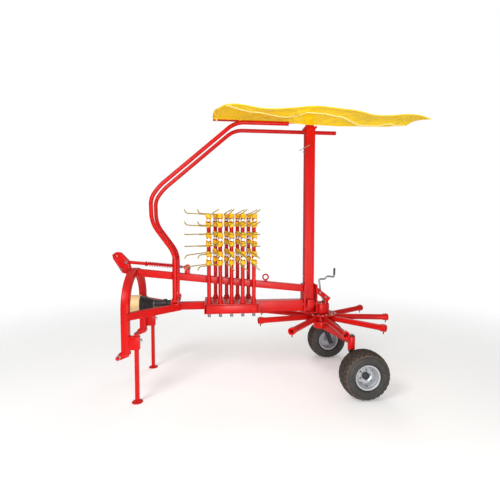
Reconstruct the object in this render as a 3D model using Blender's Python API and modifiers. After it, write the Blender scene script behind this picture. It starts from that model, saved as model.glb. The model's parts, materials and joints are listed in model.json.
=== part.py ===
"""Rotary hay rake, parked: single rotor with its rake arms stowed in a rack on the frame.

Metres, +Z up. The machine is laid out with X = 0 at the headstock arch, +X to the rear and
Y = 0 on the centre line, on the ground at Z = 0. One empty carries the whole machine and sets
its origin at the bottom centre of its bounding box.
"""

from math import atan2, cos, pi, radians, sin, sqrt

import bmesh
import bpy
from mathutils import Matrix, Vector

# ---------------------------------------------------------------- driving sizes (metres)
GAP = 0.0003                  # between solids that touch
RUNNING_GAP = 0.0006          # radial, between a pin or shaft and its bore

# headstock
ARCH_HALF_WIDTH = 0.390       # centre line of each leg
ARCH_TUBE = 0.072
ARCH_X = 0.012
ARCH_FOOT_Z = 0.450
ARCH_SPRING_Z = 0.830         # where the legs start to curve in
ARCH_TOP_Z = 1.190
HITCH_PIN_RADIUS = 0.0142
HITCH_PIN_X = -0.045
HITCH_PIN_Z = 0.425
HITCH_PIN_OUT = 0.470
LINK_HOLE_RADIUS = 0.0128

# frame
BOOM_TUBE = 0.072
BOOM_FRONT_Z = 1.143
BOOM_REAR_Z = 0.958
SPINE_TUBE = 0.075
SPINE_Z = 0.7945
SPINE_FRONT_X = 0.370
SPINE_BOX_X = 1.270
SPINE_BOX_HEIGHT = 0.116
SPINE_BOX_WIDTH = 0.104
V_BEAM_TUBE = 0.066
V_BEAM_Z = 0.785
POST_X = 0.424
POST_DEPTH = 0.064
POST_TOP_Z = 1.280

# spring strut
STRUT_FRONT = (-0.061, 1.250)
STRUT_REAR = (0.515, 1.192)
STRUT_RADIUS = 0.011
SPRING_RADIUS = 0.0185
SPRING_START_X = 0.136

# rack and stowed rake arms
RACK_X0, RACK_X1 = 0.715, 1.262
RACK_HALF_WIDTH = 0.205
RACK_PLATE = 0.008
RACK_LOWER_Z = 0.745
ARM_ROW_Y = 0.150
NEAR_ROW = (0.763, 0.112, 5)   # first X, pitch, count
FAR_ROW = (0.828, 0.119, 4)
ARM_RADIUS = 0.020
ARM_TOP_Z = 1.735
ARM_PIN_RADIUS = 0.0165
ARM_SIDES = 10                 # facets of an arm and of the hole it stands in
ARM_PIN_DROP = 0.042
TINE_HEIGHTS = (1.666, 1.477, 1.294)
TINE_SPREAD = 0.052            # coil centre to bracket centre
TINE_WIRE_RADIUS = 0.0048
TINE_COIL_RADIUS = 0.024
TINE_COIL_HEIGHT = 0.038
# How far the tine wires and their bent tips go forward and to the left.
SWEPT_TINES = ((0.190, 0.300), (0.010, 0.080))
TURNED_TINES = ((0.030, 0.355), (-0.030, 0.075))
FAR_TINES = ((0.020, 0.440), (-0.050, 0.060))
SWEPT_COUNT = 2                # near arms whose tines are swept forward
FAR_LIFT = 0.014               # far tines stand higher, clear of the near ones

# mast and curtain
MAST_X = 1.812
MAST_TUBE = 0.100
MAST_TOP_Z = 2.627
MAST_PIVOT_Y, MAST_PIVOT_Z = -0.080, 0.800
MAST_PIN_RADIUS = 0.012
BRACKET_GAP = 0.010            # mast to each bracket plate
BRACKET_PLATE = 0.010
BRACKET_BASE_Z = 0.708
BRACKET_TOP_Z = 1.005
BAR_X0, BAR_X1 = 0.810, 2.700
BAR_WIDTH = 0.040
BAR_BOTTOM_Z, BAR_TOP_Z = 2.682, 2.704
CURTAIN_X0, CURTAIN_X1 = 0.812, 2.800
CURTAIN_WIDTH = 0.540
CURTAIN_THICK = 0.006
CURTAIN_CLEAR_RADIUS = 1.882   # from the mast pivot, outside the guard hoops' sweep
CURTAIN_WAVE = 0.026
CURTAIN_ROUNDING = 0.35        # share of the width cut off at the front end
CURTAIN_ROUND_SHARE = 0.06     # share of the length over which it is cut

# guard hoops
GUARD_Y = 0.138
GUARD_PIVOT_X, GUARD_PIVOT_Z = 0.428, 0.870
GUARD_RADIUS = 0.020
GUARD_PIN_RADIUS = 0.008
GUARD_BARREL_RADIUS = 0.023
GUARD_TOP_Z = 2.629
GUARD_END_LEFT, GUARD_END_RIGHT = 1.560, 2.142
GUARD_EAR = 0.008

# rotor and gearbox
ROTOR_X = 1.953
ROTOR_Z = 0.649
STUB_COUNT = 9
STUB_FIRST_DEG = -9.3
STUB_RADIUS = 0.0290
STUB_TIP = 0.705
STUB_START = 0.095
COLLAR_RADIUS = 0.0345
COLLAR_LENGTH = 0.045
ROTOR_DISC_RADIUS = 0.170
ROTOR_DISC_THICK = 0.008
AXLE_RADIUS = 0.030
GEARBOX_RADIUS = 0.085
GEARBOX_TOP_Z = 0.790
STAY_Y = 0.045
STAY_THICK = 0.008
CRANK_RADIUS = 0.009

# power input
INPUT_Z = 0.820
INPUT_RADIUS = 0.0175
INPUT_FRONT_X = -0.040
INPUT_GUARD_RADIUS = 0.0925
INPUT_GUARD_X0, INPUT_GUARD_X1 = -0.050, 0.069
INPUT_GUARD_WALL = 0.0055
CONE_REAR_X = 0.210
BEARING_TUBE_RADIUS = 0.036

# chassis, casters and wheels
SWIVEL_X, SWIVEL_Y = 2.135, 0.400
SLEEVE_RADIUS = 0.035
SLEEVE_BOTTOM_Z, SLEEVE_TOP_Z = 0.420, 0.545
CHASSIS_TUBE = (0.060, 0.066)
ROTOR_MOUNT_RADIUS = 0.075
ROTOR_MOUNT_Z = (0.530, 0.603)
KINGPIN_RADIUS = 0.020
WHEEL_X, WHEEL_Y = 2.200, 0.551
TYRE_RADIUS = 0.2285
TYRE_WIDTH = 0.215
RIM_BARREL_RADIUS = 0.100
RIM_FLANGE_RADIUS = 0.1175
RIM_WIDTH = 0.178
RIM_HUB_RADIUS = 0.032
AXLE_PIN_RADIUS = 0.015

# stands
STAND_X, STAND_Y = 0.112, 0.412
STAND_TUBE = 0.036
STAND_TOP_Z = 0.637
STAND_FOOT_RADIUS = 0.050
STAND_FOOT_THICK = 0.008
STAND_SOCKET_Z = (0.490, 0.610)
STAND_SOCKET_WALL = 0.010
STAND_SLIDE_GAP = 0.0005

# ---------------------------------------------------------------- values that follow
LEFT, RIGHT = -1, 1
SIDES = {"left": LEFT, "right": RIGHT}
BRACKET_FRONT_X = MAST_X - MAST_TUBE / 2 - BRACKET_GAP - BRACKET_PLATE
BRACKET_REAR_X = MAST_X + MAST_TUBE / 2 + BRACKET_GAP + BRACKET_PLATE
SPINE_REAR_X = BRACKET_FRONT_X - GAP
ARCH_FRONT_X = ARCH_X - ARCH_TUBE / 2
ARCH_REAR_X = ARCH_X + ARCH_TUBE / 2
SPINE_TOP_Z = SPINE_Z + SPINE_TUBE / 2
BOOM_SLOPE = (BOOM_REAR_Z - BOOM_FRONT_Z) / (BRACKET_FRONT_X - ARCH_REAR_X)


def boom_z(x):
    """Height of the boom's centre line at x."""
    return BOOM_FRONT_Z + BOOM_SLOPE * (x - ARCH_REAR_X)


# ---------------------------------------------------------------- scene and materials
def clear_scene():
    """Remove whatever the file opened with."""
    for obj in list(bpy.data.objects):
        bpy.data.objects.remove(obj)


def make_collection(name):
    """A new collection in the scene."""
    collection = bpy.data.collections.new(name)
    bpy.context.scene.collection.children.link(collection)
    return collection


clear_scene()
RAKE = make_collection("rotary_hay_rake")
MATERIALS = {}


def material(name, colour, roughness, metallic=0.0):
    """A Principled material, kept by name."""
    mat = bpy.data.materials.new(name)
    mat.use_nodes = True
    shader = mat.node_tree.nodes["Principled BSDF"]
    shader.inputs["Base Color"].default_value = (*colour, 1.0)
    shader.inputs["Roughness"].default_value = roughness
    shader.inputs["Metallic"].default_value = metallic
    mat.diffuse_color = (*colour, 1.0)
    MATERIALS[name] = mat


material("red_paint", (0.63, 0.010, 0.012), 0.35)
material("yellow_sheet", (0.90, 0.62, 0.010), 0.55)
material("beige_plastic", (0.78, 0.52, 0.22), 0.45)
material("black_rubber", (0.02, 0.02, 0.02), 0.8)
material("tyre_rubber", (0.03, 0.027, 0.025), 0.9)
material("silver_rim", (0.55, 0.56, 0.57), 0.35, 0.9)
material("grey_steel", (0.22, 0.22, 0.21), 0.5, 0.8)
material("black_paint", (0.02, 0.02, 0.022), 0.4)


# ---------------------------------------------------------------- shape helpers
def keep(obj):
    """Link a new object into the machine's collection only, with its transform applied."""
    for collection in list(obj.users_collection):
        collection.objects.unlink(obj)
    RAKE.objects.link(obj)
    bpy.context.view_layer.update()
    obj.data.transform(obj.matrix_world)
    obj.matrix_world = Matrix.Identity(4)
    return obj


def turn_to(direction):
    """Rotation that takes +Z to a direction."""
    return Vector(direction).normalized().to_track_quat("Z", "Y").to_matrix().to_4x4()


def box(low, high):
    """Axis-aligned block between two corners."""
    low, high = Vector(low), Vector(high)
    bpy.ops.mesh.primitive_cube_add(size=1.0, location=(low + high) / 2)
    obj = bpy.context.object
    obj.scale = high - low
    return keep(obj)


def beam(start, end, width, height):
    """Square-ended bar; width is level and height is across it."""
    start, end = Vector(start), Vector(end)
    along = (end - start).normalized()
    level = Vector((0, 0, 1)).cross(along).normalized()
    rotation = Matrix((along, level, along.cross(level))).transposed().to_4x4()
    bpy.ops.mesh.primitive_cube_add(size=1.0)
    obj = bpy.context.object
    size = Matrix.Diagonal(((end - start).length, width, height, 1.0))
    obj.matrix_world = Matrix.Translation((start + end) / 2) @ rotation @ size
    return keep(obj)


def rod(start, end, radius, sides=24, end_radius=None):
    """Cylinder or cone between two points."""
    start, end = Vector(start), Vector(end)
    top = radius if end_radius is None else end_radius
    bpy.ops.mesh.primitive_cone_add(
        vertices=sides, radius1=radius, radius2=top, depth=(end - start).length
    )
    obj = bpy.context.object
    obj.matrix_world = Matrix.Translation((start + end) / 2) @ turn_to(end - start)
    return keep(obj)


def pipe(points, radius, resolution=2):
    """Bent round bar along a list of points, as a closed mesh."""
    curve = bpy.data.curves.new("pipe", "CURVE")
    curve.dimensions = "3D"
    curve.bevel_depth = radius
    curve.bevel_resolution = resolution
    curve.use_fill_caps = True
    spline = curve.splines.new("POLY")
    spline.points.add(len(points) - 1)
    for point, place in zip(spline.points, points):
        point.co = (*place, 1.0)
    return curve_to_mesh(curve)


def plate(outline, thickness, place):
    """Flat outline with half its thickness on each side, set by a placing matrix."""
    curve = bpy.data.curves.new("plate", "CURVE")
    curve.dimensions = "2D"
    curve.fill_mode = "BOTH"
    curve.extrude = thickness / 2
    spline = curve.splines.new("POLY")
    spline.points.add(len(outline) - 1)
    for point, (u, v) in zip(spline.points, outline):
        point.co = (u, v, 0.0, 1.0)
    spline.use_cyclic_u = True
    obj = curve_to_mesh(curve)
    obj.matrix_world = place
    return keep(obj)


def curve_to_mesh(curve):
    """Turn a curve into a mesh object with its caps welded on."""
    guide = bpy.data.objects.new("curve", curve)
    RAKE.objects.link(guide)
    bpy.context.view_layer.update()
    graph = bpy.context.evaluated_depsgraph_get()
    mesh = bpy.data.meshes.new_from_object(guide.evaluated_get(graph))
    obj = bpy.data.objects.new("solid", mesh)
    obj.matrix_world = guide.matrix_world
    bpy.data.objects.remove(guide)
    work = bmesh.new()
    work.from_mesh(mesh)
    bmesh.ops.remove_doubles(work, verts=work.verts, dist=0.00002)
    bmesh.ops.recalc_face_normals(work, faces=work.faces)
    work.to_mesh(mesh)
    work.free()
    return keep(obj)


def turned(profile, place, steps=32):
    """Closed ring turned from a closed outline of (radius, height) points."""
    mesh = bpy.data.meshes.new("turned")
    count = len(profile)
    edges = [(i, (i + 1) % count) for i in range(count)]
    mesh.from_pydata([(r, 0.0, z) for r, z in profile], edges, [])
    obj = bpy.data.objects.new("turned", mesh)
    RAKE.objects.link(obj)
    screw = obj.modifiers.new("turn", "SCREW")
    screw.steps = steps
    screw.render_steps = steps
    screw.use_merge_vertices = True
    screw.merge_threshold = 0.00005
    baked = bake(obj)
    work = bmesh.new()
    work.from_mesh(baked.data)
    bmesh.ops.recalc_face_normals(work, faces=work.faces)
    work.to_mesh(baked.data)
    work.free()
    baked.matrix_world = place
    return keep(baked)


def bake(obj):
    """Replace an object by its evaluated mesh."""
    bpy.context.view_layer.update()
    graph = bpy.context.evaluated_depsgraph_get()
    mesh = bpy.data.meshes.new_from_object(obj.evaluated_get(graph))
    solid = bpy.data.objects.new("baked", mesh)
    RAKE.objects.link(solid)
    solid.matrix_world = obj.matrix_world
    bpy.data.objects.remove(obj)
    return solid


def combine(pieces, cutters=()):
    """Union of the pieces, less the cutters, as one solid."""
    base = pieces[0]
    for tool, operation in [(p, "UNION") for p in pieces[1:]] + [(c, "DIFFERENCE") for c in cutters]:
        step = base.modifiers.new(operation.lower(), "BOOLEAN")
        step.operation = operation
        step.object = tool
    solid = bake(base)
    for tool in list(pieces[1:]) + list(cutters):
        bpy.data.objects.remove(tool)
    return solid


def finish(obj, name, slot, carrier=None, round_shape=False):
    """Name a solid, give it its material and hang it on its carrier."""
    obj.name = name
    obj.data.name = name
    obj.data.materials.clear()
    obj.data.materials.append(MATERIALS[slot])
    if round_shape:
        obj.data.shade_smooth()
        obj.data.set_sharp_from_angle(angle=radians(35))
    obj.parent = carrier or ROOT
    bpy.context.view_layer.update()
    obj.matrix_parent_inverse = obj.parent.matrix_world.inverted()
    return obj


def empty(name, place, carrier=None):
    """A joint's place, or the machine's root."""
    obj = bpy.data.objects.new(name, None)
    RAKE.objects.link(obj)
    obj.location = place
    if carrier is not None:
        bpy.context.view_layer.update()
        obj.parent = carrier
        obj.matrix_parent_inverse = carrier.matrix_world.inverted()
    bpy.context.view_layer.update()
    return obj


ROOT = empty("machine", (0, 0, 0))
FLAT_XZ = Matrix.Rotation(pi / 2, 4, "X")      # outline (u, v) to (X, Z)
FLAT_YZ = Matrix(((0, 0, 1, 0), (1, 0, 0, 0), (0, 1, 0, 0), (0, 0, 0, 1)))


# ---------------------------------------------------------------- headstock
def build_arch():
    """Inverted U of square tube: straight legs under a half ellipse."""
    def half(offset, steps=12):
        wide = ARCH_HALF_WIDTH + offset
        tall = ARCH_TOP_Z - ARCH_SPRING_Z - ARCH_TUBE / 2 + offset
        curve = [
            (wide * cos(pi * i / steps), ARCH_SPRING_Z + tall * sin(pi * i / steps))
            for i in range(steps + 1)
        ]
        return [(wide, ARCH_FOOT_Z), *curve, (-wide, ARCH_FOOT_Z)]

    outline = half(ARCH_TUBE / 2) + half(-ARCH_TUBE / 2)[::-1]
    arch = plate(outline, ARCH_TUBE, Matrix.Translation((ARCH_X, 0, 0)) @ FLAT_YZ)
    finish(arch, "headstock_arch", "red_paint")


def build_hitch(name, side):
    """Lower hitch clevis under an arch leg, with its pin standing out sideways."""
    top = ARCH_FOOT_Z - GAP
    centre = side * ARCH_HALF_WIDTH
    half = ARCH_TUBE / 2
    outline = [
        (ARCH_REAR_X, top), (ARCH_REAR_X, top - 0.020), (-0.030, 0.398),
        (-0.062, 0.398), (-0.070, 0.425), (-0.050, top - 0.004), (-0.034, top),
    ]
    plates = [
        plate(outline, 0.010, Matrix.Translation((0, centre + edge, 0)) @ FLAT_XZ)
        for edge in (-half + 0.005, half - 0.005)
    ]
    cap = box((ARCH_FRONT_X, centre - half, top - 0.008), (ARCH_REAR_X, centre + half, top))
    inner = side * (ARCH_HALF_WIDTH - half - 0.012)
    pin = rod((HITCH_PIN_X, inner, HITCH_PIN_Z), (HITCH_PIN_X, side * HITCH_PIN_OUT, HITCH_PIN_Z),
              HITCH_PIN_RADIUS, 14)
    finish(combine([plates[0], plates[1], cap, pin]), name, "red_paint")


def strut_point(x):
    """Point on the spring strut's axis at x."""
    (x0, z0), (x1, z1) = STRUT_FRONT, STRUT_REAR
    return (x, 0.0, z0 + (z1 - z0) * (x - x0) / (x1 - x0))


def build_top_link():
    """Two ears on the arch's crown, with the strut's front pin between them."""
    back = ARCH_FRONT_X - GAP
    outline = [
        (back, 1.190), (-0.042, 1.262), (-0.118, 1.345), (-0.160, 1.352),
        (-0.194, 1.325), (-0.186, 1.285), (-0.100, 1.145), (back, 1.122),
    ]
    ears = [
        plate(outline, 0.010, Matrix.Translation((0, side * 0.031, 0)) @ FLAT_XZ)
        for side in (LEFT, RIGHT)
    ]
    foot = box((back - 0.012, -0.036, 1.122), (back, 0.036, 1.186))
    pin = rod((STRUT_FRONT[0], -0.040, STRUT_FRONT[1]), (STRUT_FRONT[0], 0.040, STRUT_FRONT[1]), 0.008, 16)
    holes = [
        rod((x, -0.05, z), (x, 0.05, z), LINK_HOLE_RADIUS, 12)
        for x, z in ((-0.158, 1.312), (-0.108, 1.178))
    ]
    finish(combine([ears[0], ears[1], foot, pin], holes), "top_link_bracket", "red_paint")


# ---------------------------------------------------------------- frame
def build_boom():
    """Upper square tube from the arch's crown to the mast bracket, with the strut's lug."""
    tube = beam((ARCH_REAR_X - 0.05, 0, boom_z(ARCH_REAR_X - 0.05)),
                (BRACKET_FRONT_X + 0.05, 0, boom_z(BRACKET_FRONT_X + 0.05)), BOOM_TUBE, BOOM_TUBE)
    lug_x = STRUT_REAR[0]
    lug = box((lug_x + GAP, -0.012, boom_z(lug_x)), (lug_x + 0.032, 0.012, 1.208))
    ends = [
        box((ARCH_REAR_X - 0.2, -0.2, 0.8), (ARCH_REAR_X + GAP, 0.2, 1.5)),
        box((SPINE_REAR_X, -0.2, 0.6), (BRACKET_FRONT_X + 0.2, 0.2, 1.3)),
    ]
    finish(combine([tube, lug], ends), "main_boom", "red_paint")


def build_v_beam(name, side):
    """Lower side beam from an arch leg in to the spine."""
    start = Vector((ARCH_REAR_X - 0.05, side * (ARCH_HALF_WIDTH + 0.032), V_BEAM_Z))
    end = Vector((SPINE_FRONT_X + 0.150, side * -0.041, V_BEAM_Z))
    bar = beam(start, end, V_BEAM_TUBE, V_BEAM_TUBE)
    far_side = (SPINE_TUBE / 2 + GAP) * side
    low, high = sorted((far_side, far_side - side * 0.5))
    trims = [
        box((-0.3, -0.8, 0.5), (ARCH_REAR_X + GAP, 0.8, 1.0)),
        box((0.0, low, 0.5), (0.9, high, 1.0)),
    ]
    finish(combine([bar], trims), name, "red_paint")


def build_spine():
    """Lower centre beam: a square tube, then a deeper box up to the mast bracket."""
    half = SPINE_TUBE / 2
    tube = box((SPINE_FRONT_X, -half, SPINE_Z - half), (SPINE_BOX_X + 0.01, half, SPINE_TOP_Z))
    wide = SPINE_BOX_WIDTH / 2
    low = SPINE_TOP_Z + 0.004 - SPINE_BOX_HEIGHT
    deep = box((SPINE_BOX_X, -wide, low), (SPINE_REAR_X, wide, low + SPINE_BOX_HEIGHT))
    finish(combine([tube, deep]), "lower_spine", "red_paint")


def arm_places():
    """Name, X, Y, tine lift and tine run of each stowed arm."""
    places = []
    for side, (first, pitch, count) in ((LEFT, NEAR_ROW), (RIGHT, FAR_ROW)):
        for index in range(count):
            name = f"rake_arm_{len(places) + 1}"
            if side == RIGHT:
                lift, tines = FAR_LIFT, FAR_TINES
            else:
                lift, tines = 0.0, SWEPT_TINES if index < SWEPT_COUNT else TURNED_TINES
            places.append((name, first + pitch * index, side * ARM_ROW_Y, lift, tines))
    return places


def build_rack():
    """Two drilled plates, joined by cheeks beside the spine, that hold the stowed arms."""
    upper_low = SPINE_TOP_Z + GAP
    lower_top = RACK_LOWER_Z + RACK_PLATE
    width = RACK_HALF_WIDTH
    plates = [
        box((RACK_X0, -width, RACK_LOWER_Z), (RACK_X1, width, lower_top)),
        box((RACK_X0, -width, upper_low), (RACK_X1 - 0.002, width, upper_low + RACK_PLATE)),
    ]
    inner = SPINE_TUBE / 2 + GAP
    cheeks = []
    for x in (RACK_X0, RACK_X1 - 0.010):
        for low, high in ((-width, -inner), (inner, width)):
            cheeks.append(box((x, low, RACK_LOWER_Z + 0.002), (x + 0.008, high, upper_low + 0.004)))
    holes = []
    for _, x, y, _, _ in arm_places():
        holes.append(rod((x, y, 0.70), (x, y, lower_top + 0.005), ARM_PIN_RADIUS + GAP, ARM_SIDES))
        holes.append(rod((x, y, upper_low - 0.005), (x, y, 0.90), ARM_RADIUS + GAP, ARM_SIDES))
    finish(combine(plates + cheeks, holes), "arm_rack", "red_paint")


def build_rake_arm(name, x, y, lift, tines):
    """Stowed rake arm: tube, lower pin and three double spring tines on its left side."""
    foot = RACK_LOWER_Z + RACK_PLATE + GAP
    tube = rod((x, y, foot), (x, y, ARM_TOP_Z + lift), ARM_RADIUS, ARM_SIDES)
    pin = rod((x, y, RACK_LOWER_Z - ARM_PIN_DROP), (x, y, foot + 0.01), ARM_PIN_RADIUS, ARM_SIDES)
    pieces = [tube, pin]
    reach, tip_run = tines
    for height in TINE_HEIGHTS:
        coil = Vector((x, y - ARM_RADIUS - TINE_COIL_RADIUS + 0.004, height + lift))
        half = Vector((0, 0, TINE_SPREAD + TINE_COIL_HEIGHT / 2))
        pieces.append(rod(coil - half, coil + half, TINE_COIL_RADIUS, 8))
        for step in (-TINE_SPREAD, TINE_SPREAD):
            root = coil + Vector((0, 0, step))
            knee = root - Vector((*reach, 0))
            pieces.append(pipe([root, knee, knee - Vector((*tip_run, 0))], TINE_WIRE_RADIUS, 0))
    finish(combine(pieces), name, "red_paint")


def build_post():
    """Post astride the boom that guides the strut and carries the guard hoops' ears."""
    low = SPINE_TOP_Z + GAP
    x0, x1 = POST_X - POST_DEPTH / 2, POST_X + POST_DEPTH / 2
    inner = BOOM_TUBE / 2 + GAP
    pieces = [
        box((x0, inner, low), (x1, inner + 0.008, POST_TOP_Z)),
        box((x0, -inner - 0.008, low), (x1, -inner, POST_TOP_Z)),
        box((x0, -inner - 0.002, 1.155), (x1, inner + 0.002, POST_TOP_Z - 0.006)),
    ]
    reach = GUARD_Y + 0.027
    cross_top = GUARD_PIVOT_Z - GUARD_BARREL_RADIUS - 0.005
    ear_half = (GUARD_PIN_RADIUS + 0.012)
    inside = GUARD_RADIUS + 0.004
    cross = box((GUARD_PIVOT_X - inside - GUARD_EAR, -reach, low),
                (GUARD_PIVOT_X + inside + GUARD_EAR, reach, cross_top))
    pieces.append(cross)
    holes = [rod(strut_point(x0 - 0.05), strut_point(x1 + 0.05), STRUT_RADIUS + RUNNING_GAP, 16)]
    for side in (LEFT, RIGHT):
        y = side * GUARD_Y
        for x in (GUARD_PIVOT_X - inside - GUARD_EAR, GUARD_PIVOT_X + inside):
            pieces.append(box((x, y - ear_half, cross_top - 0.004),
                              (x + GUARD_EAR, y + ear_half, GUARD_PIVOT_Z + 0.022)))
        holes.append(rod((GUARD_PIVOT_X - 0.06, y, GUARD_PIVOT_Z), (GUARD_PIVOT_X + 0.06, y, GUARD_PIVOT_Z),
                         GUARD_PIN_RADIUS + RUNNING_GAP, 24))
    finish(combine(pieces, holes), "guard_post", "red_paint")


def build_strut():
    """Spring strut: rod with its front eye and collars, and the spring as a plain sleeve."""
    eye_x, eye_z = STRUT_FRONT
    eye = rod((eye_x, -0.0255, eye_z), (eye_x, 0.0255, eye_z), 0.020, 20)
    shaft = rod(strut_point(eye_x), strut_point(STRUT_REAR[0]), STRUT_RADIUS, 16)
    front_stop = rod(strut_point(SPRING_START_X - 0.012), strut_point(SPRING_START_X - GAP), 0.020, 16)
    behind = POST_X + POST_DEPTH / 2 + 0.0026
    rear_nut = rod(strut_point(behind), strut_point(behind + 0.014), 0.017, 6)
    bore = rod((eye_x, -0.05, eye_z), (eye_x, 0.05, eye_z), 0.008 + GAP, 16)
    square_end = box((STRUT_REAR[0], -0.05, 1.1), (0.60, 0.05, 1.3))
    finish(combine([eye, shaft, front_stop, rear_nut], [bore, square_end]), "strut_rod", "red_paint")
    tilt = turn_to(Vector(strut_point(1.0)) - Vector(strut_point(0.0)))
    length = (POST_X - POST_DEPTH / 2 - 0.0025 - SPRING_START_X)
    inner = STRUT_RADIUS + GAP
    profile = [(SPRING_RADIUS, 0), (SPRING_RADIUS, length), (inner, length), (inner, 0)]
    sleeve = turned(profile, Matrix.Translation(strut_point(SPRING_START_X)) @ tilt, 16)
    finish(sleeve, "strut_spring", "red_paint", round_shape=True)


def build_lifting_eye():
    """Ring on a short stem that stands on the boom."""
    x, z, ring, wire = 1.352, 1.079, 0.029, 0.008
    bpy.ops.mesh.primitive_torus_add(
        major_radius=ring, minor_radius=wire, major_segments=20, minor_segments=8,
        location=(x, 0, z), rotation=(pi / 2, 0, 0),
    )
    loop = keep(bpy.context.object)
    stem = box((x - 0.018, -0.010, boom_z(x)), (x + 0.018, 0.010, z - ring + 0.002))
    top = boom_z(x) + (BOOM_TUBE / 2 + GAP) * sqrt(1 + BOOM_SLOPE**2)
    slope = Matrix.Rotation(-atan2(BOOM_SLOPE, 1.0), 4, "Y")
    below = box((-0.2, -0.1, -0.2), (0.2, 0.1, 0.0))
    below.matrix_world = Matrix.Translation((x, 0, top)) @ slope
    keep(below)
    finish(combine([loop, stem], [below]), "lifting_eye", "red_paint", round_shape=True)


def build_mast_bracket():
    """Base and two cross plates that hold the mast's pivot pin, with a side pin seat."""
    base_top = BRACKET_BASE_Z + 0.008
    left, right = MAST_PIVOT_Y - 0.035, MAST_TUBE / 2 + 0.006
    front_in = BRACKET_FRONT_X + BRACKET_PLATE
    rear_in = BRACKET_REAR_X - BRACKET_PLATE
    pieces = [
        box((BRACKET_FRONT_X, left, BRACKET_BASE_Z), (BRACKET_REAR_X, right, base_top)),
        box((BRACKET_FRONT_X, left, BRACKET_BASE_Z), (front_in, right, BRACKET_TOP_Z)),
        box((rear_in, left, BRACKET_BASE_Z), (BRACKET_REAR_X, right, BRACKET_TOP_Z)),
        rod((BRACKET_FRONT_X + 0.001, MAST_PIVOT_Y, MAST_PIVOT_Z),
            (BRACKET_REAR_X - 0.001, MAST_PIVOT_Y, MAST_PIVOT_Z), MAST_PIN_RADIUS, 24),
    ]
    for side in (LEFT, RIGHT):
        pieces.append(beam((BRACKET_REAR_X - 0.004, side * STAY_Y, 0.955),
                           (2.030, side * STAY_Y, 0.832), STAY_THICK, 0.050))
    below = box((BRACKET_REAR_X, -0.2, 0.5), (2.3, 0.2, GEARBOX_TOP_Z + GAP))
    finish(combine(pieces, [below]), "mast_bracket", "red_paint")


# ---------------------------------------------------------------- gearbox and rotor
def build_gearbox():
    """Fixed gearbox over the rotor, with the axle that runs down through the rotor."""
    bottom = ROTOR_Z + STUB_RADIUS + ROTOR_DISC_THICK + 0.010
    front = BRACKET_REAR_X + GAP
    pieces = [
        rod((ROTOR_X, 0, bottom), (ROTOR_X, 0, GEARBOX_TOP_Z), GEARBOX_RADIUS, 32),
        box((front, -0.060, bottom + 0.004), (ROTOR_X, 0.060, GEARBOX_TOP_Z - 0.006)),
        rod((ROTOR_X, 0, ROTOR_MOUNT_Z[1] + GAP), (ROTOR_X, 0, bottom + 0.01), AXLE_RADIUS, 24),
    ]
    solid = combine(pieces, [box((1.5, -0.3, 0.5), (front, 0.3, 1.0))])
    finish(solid, "gearbox", "red_paint", round_shape=True)


def build_crank():
    """Height crank: upright spindle and a cranked handle."""
    route = [(1.999, GEARBOX_TOP_Z + GAP), (1.992, 0.806), (1.954, 0.877), (1.930, 1.050), (1.996, 1.049),
             (2.018, 1.081), (2.096, 1.069), (2.100, 1.167)]
    handle = pipe([(x, 0.0, z) for x, z in route], CRANK_RADIUS, 2)
    foot = rod((1.995, 0, GEARBOX_TOP_Z + GAP), (1.995, 0, GEARBOX_TOP_Z + 0.018), 0.016, 16)
    below = box((1.9, -0.1, 0.7), (2.1, 0.1, GEARBOX_TOP_Z + GAP))
    finish(combine([handle, foot], [below]), "height_crank", "grey_steel", round_shape=True)


def build_rotor(carrier):
    """Rotor head and its ring of stub arms."""
    disc_low = ROTOR_Z - STUB_RADIUS - GAP - ROTOR_DISC_THICK
    disc_high = ROTOR_Z + STUB_RADIUS + GAP + ROTOR_DISC_THICK
    pieces = [
        rod((ROTOR_X, 0, disc_low), (ROTOR_X, 0, disc_high), STUB_START - GAP, 32),
        rod((ROTOR_X, 0, disc_low), (ROTOR_X, 0, disc_low + ROTOR_DISC_THICK), ROTOR_DISC_RADIUS, 36),
        rod((ROTOR_X, 0, disc_high - ROTOR_DISC_THICK), (ROTOR_X, 0, disc_high), ROTOR_DISC_RADIUS, 36),
    ]
    bore = rod((ROTOR_X, 0, 0.5), (ROTOR_X, 0, 0.8), AXLE_RADIUS + RUNNING_GAP, 32)
    finish(combine(pieces, [bore]), "rotor_head", "red_paint", carrier, round_shape=True)
    for index in range(STUB_COUNT):
        angle = radians(STUB_FIRST_DEG + 360.0 / STUB_COUNT * index)
        out = Vector((cos(angle), sin(angle), 0))
        centre = Vector((ROTOR_X, 0, ROTOR_Z))
        stub = combine([
            rod(centre + out * STUB_START, centre + out * STUB_TIP, STUB_RADIUS, 16),
            rod(centre + out * (STUB_TIP - COLLAR_LENGTH), centre + out * STUB_TIP, COLLAR_RADIUS, 16),
        ])
        finish(stub, f"stub_arm_{index + 1}", "red_paint", carrier, round_shape=True)


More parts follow.
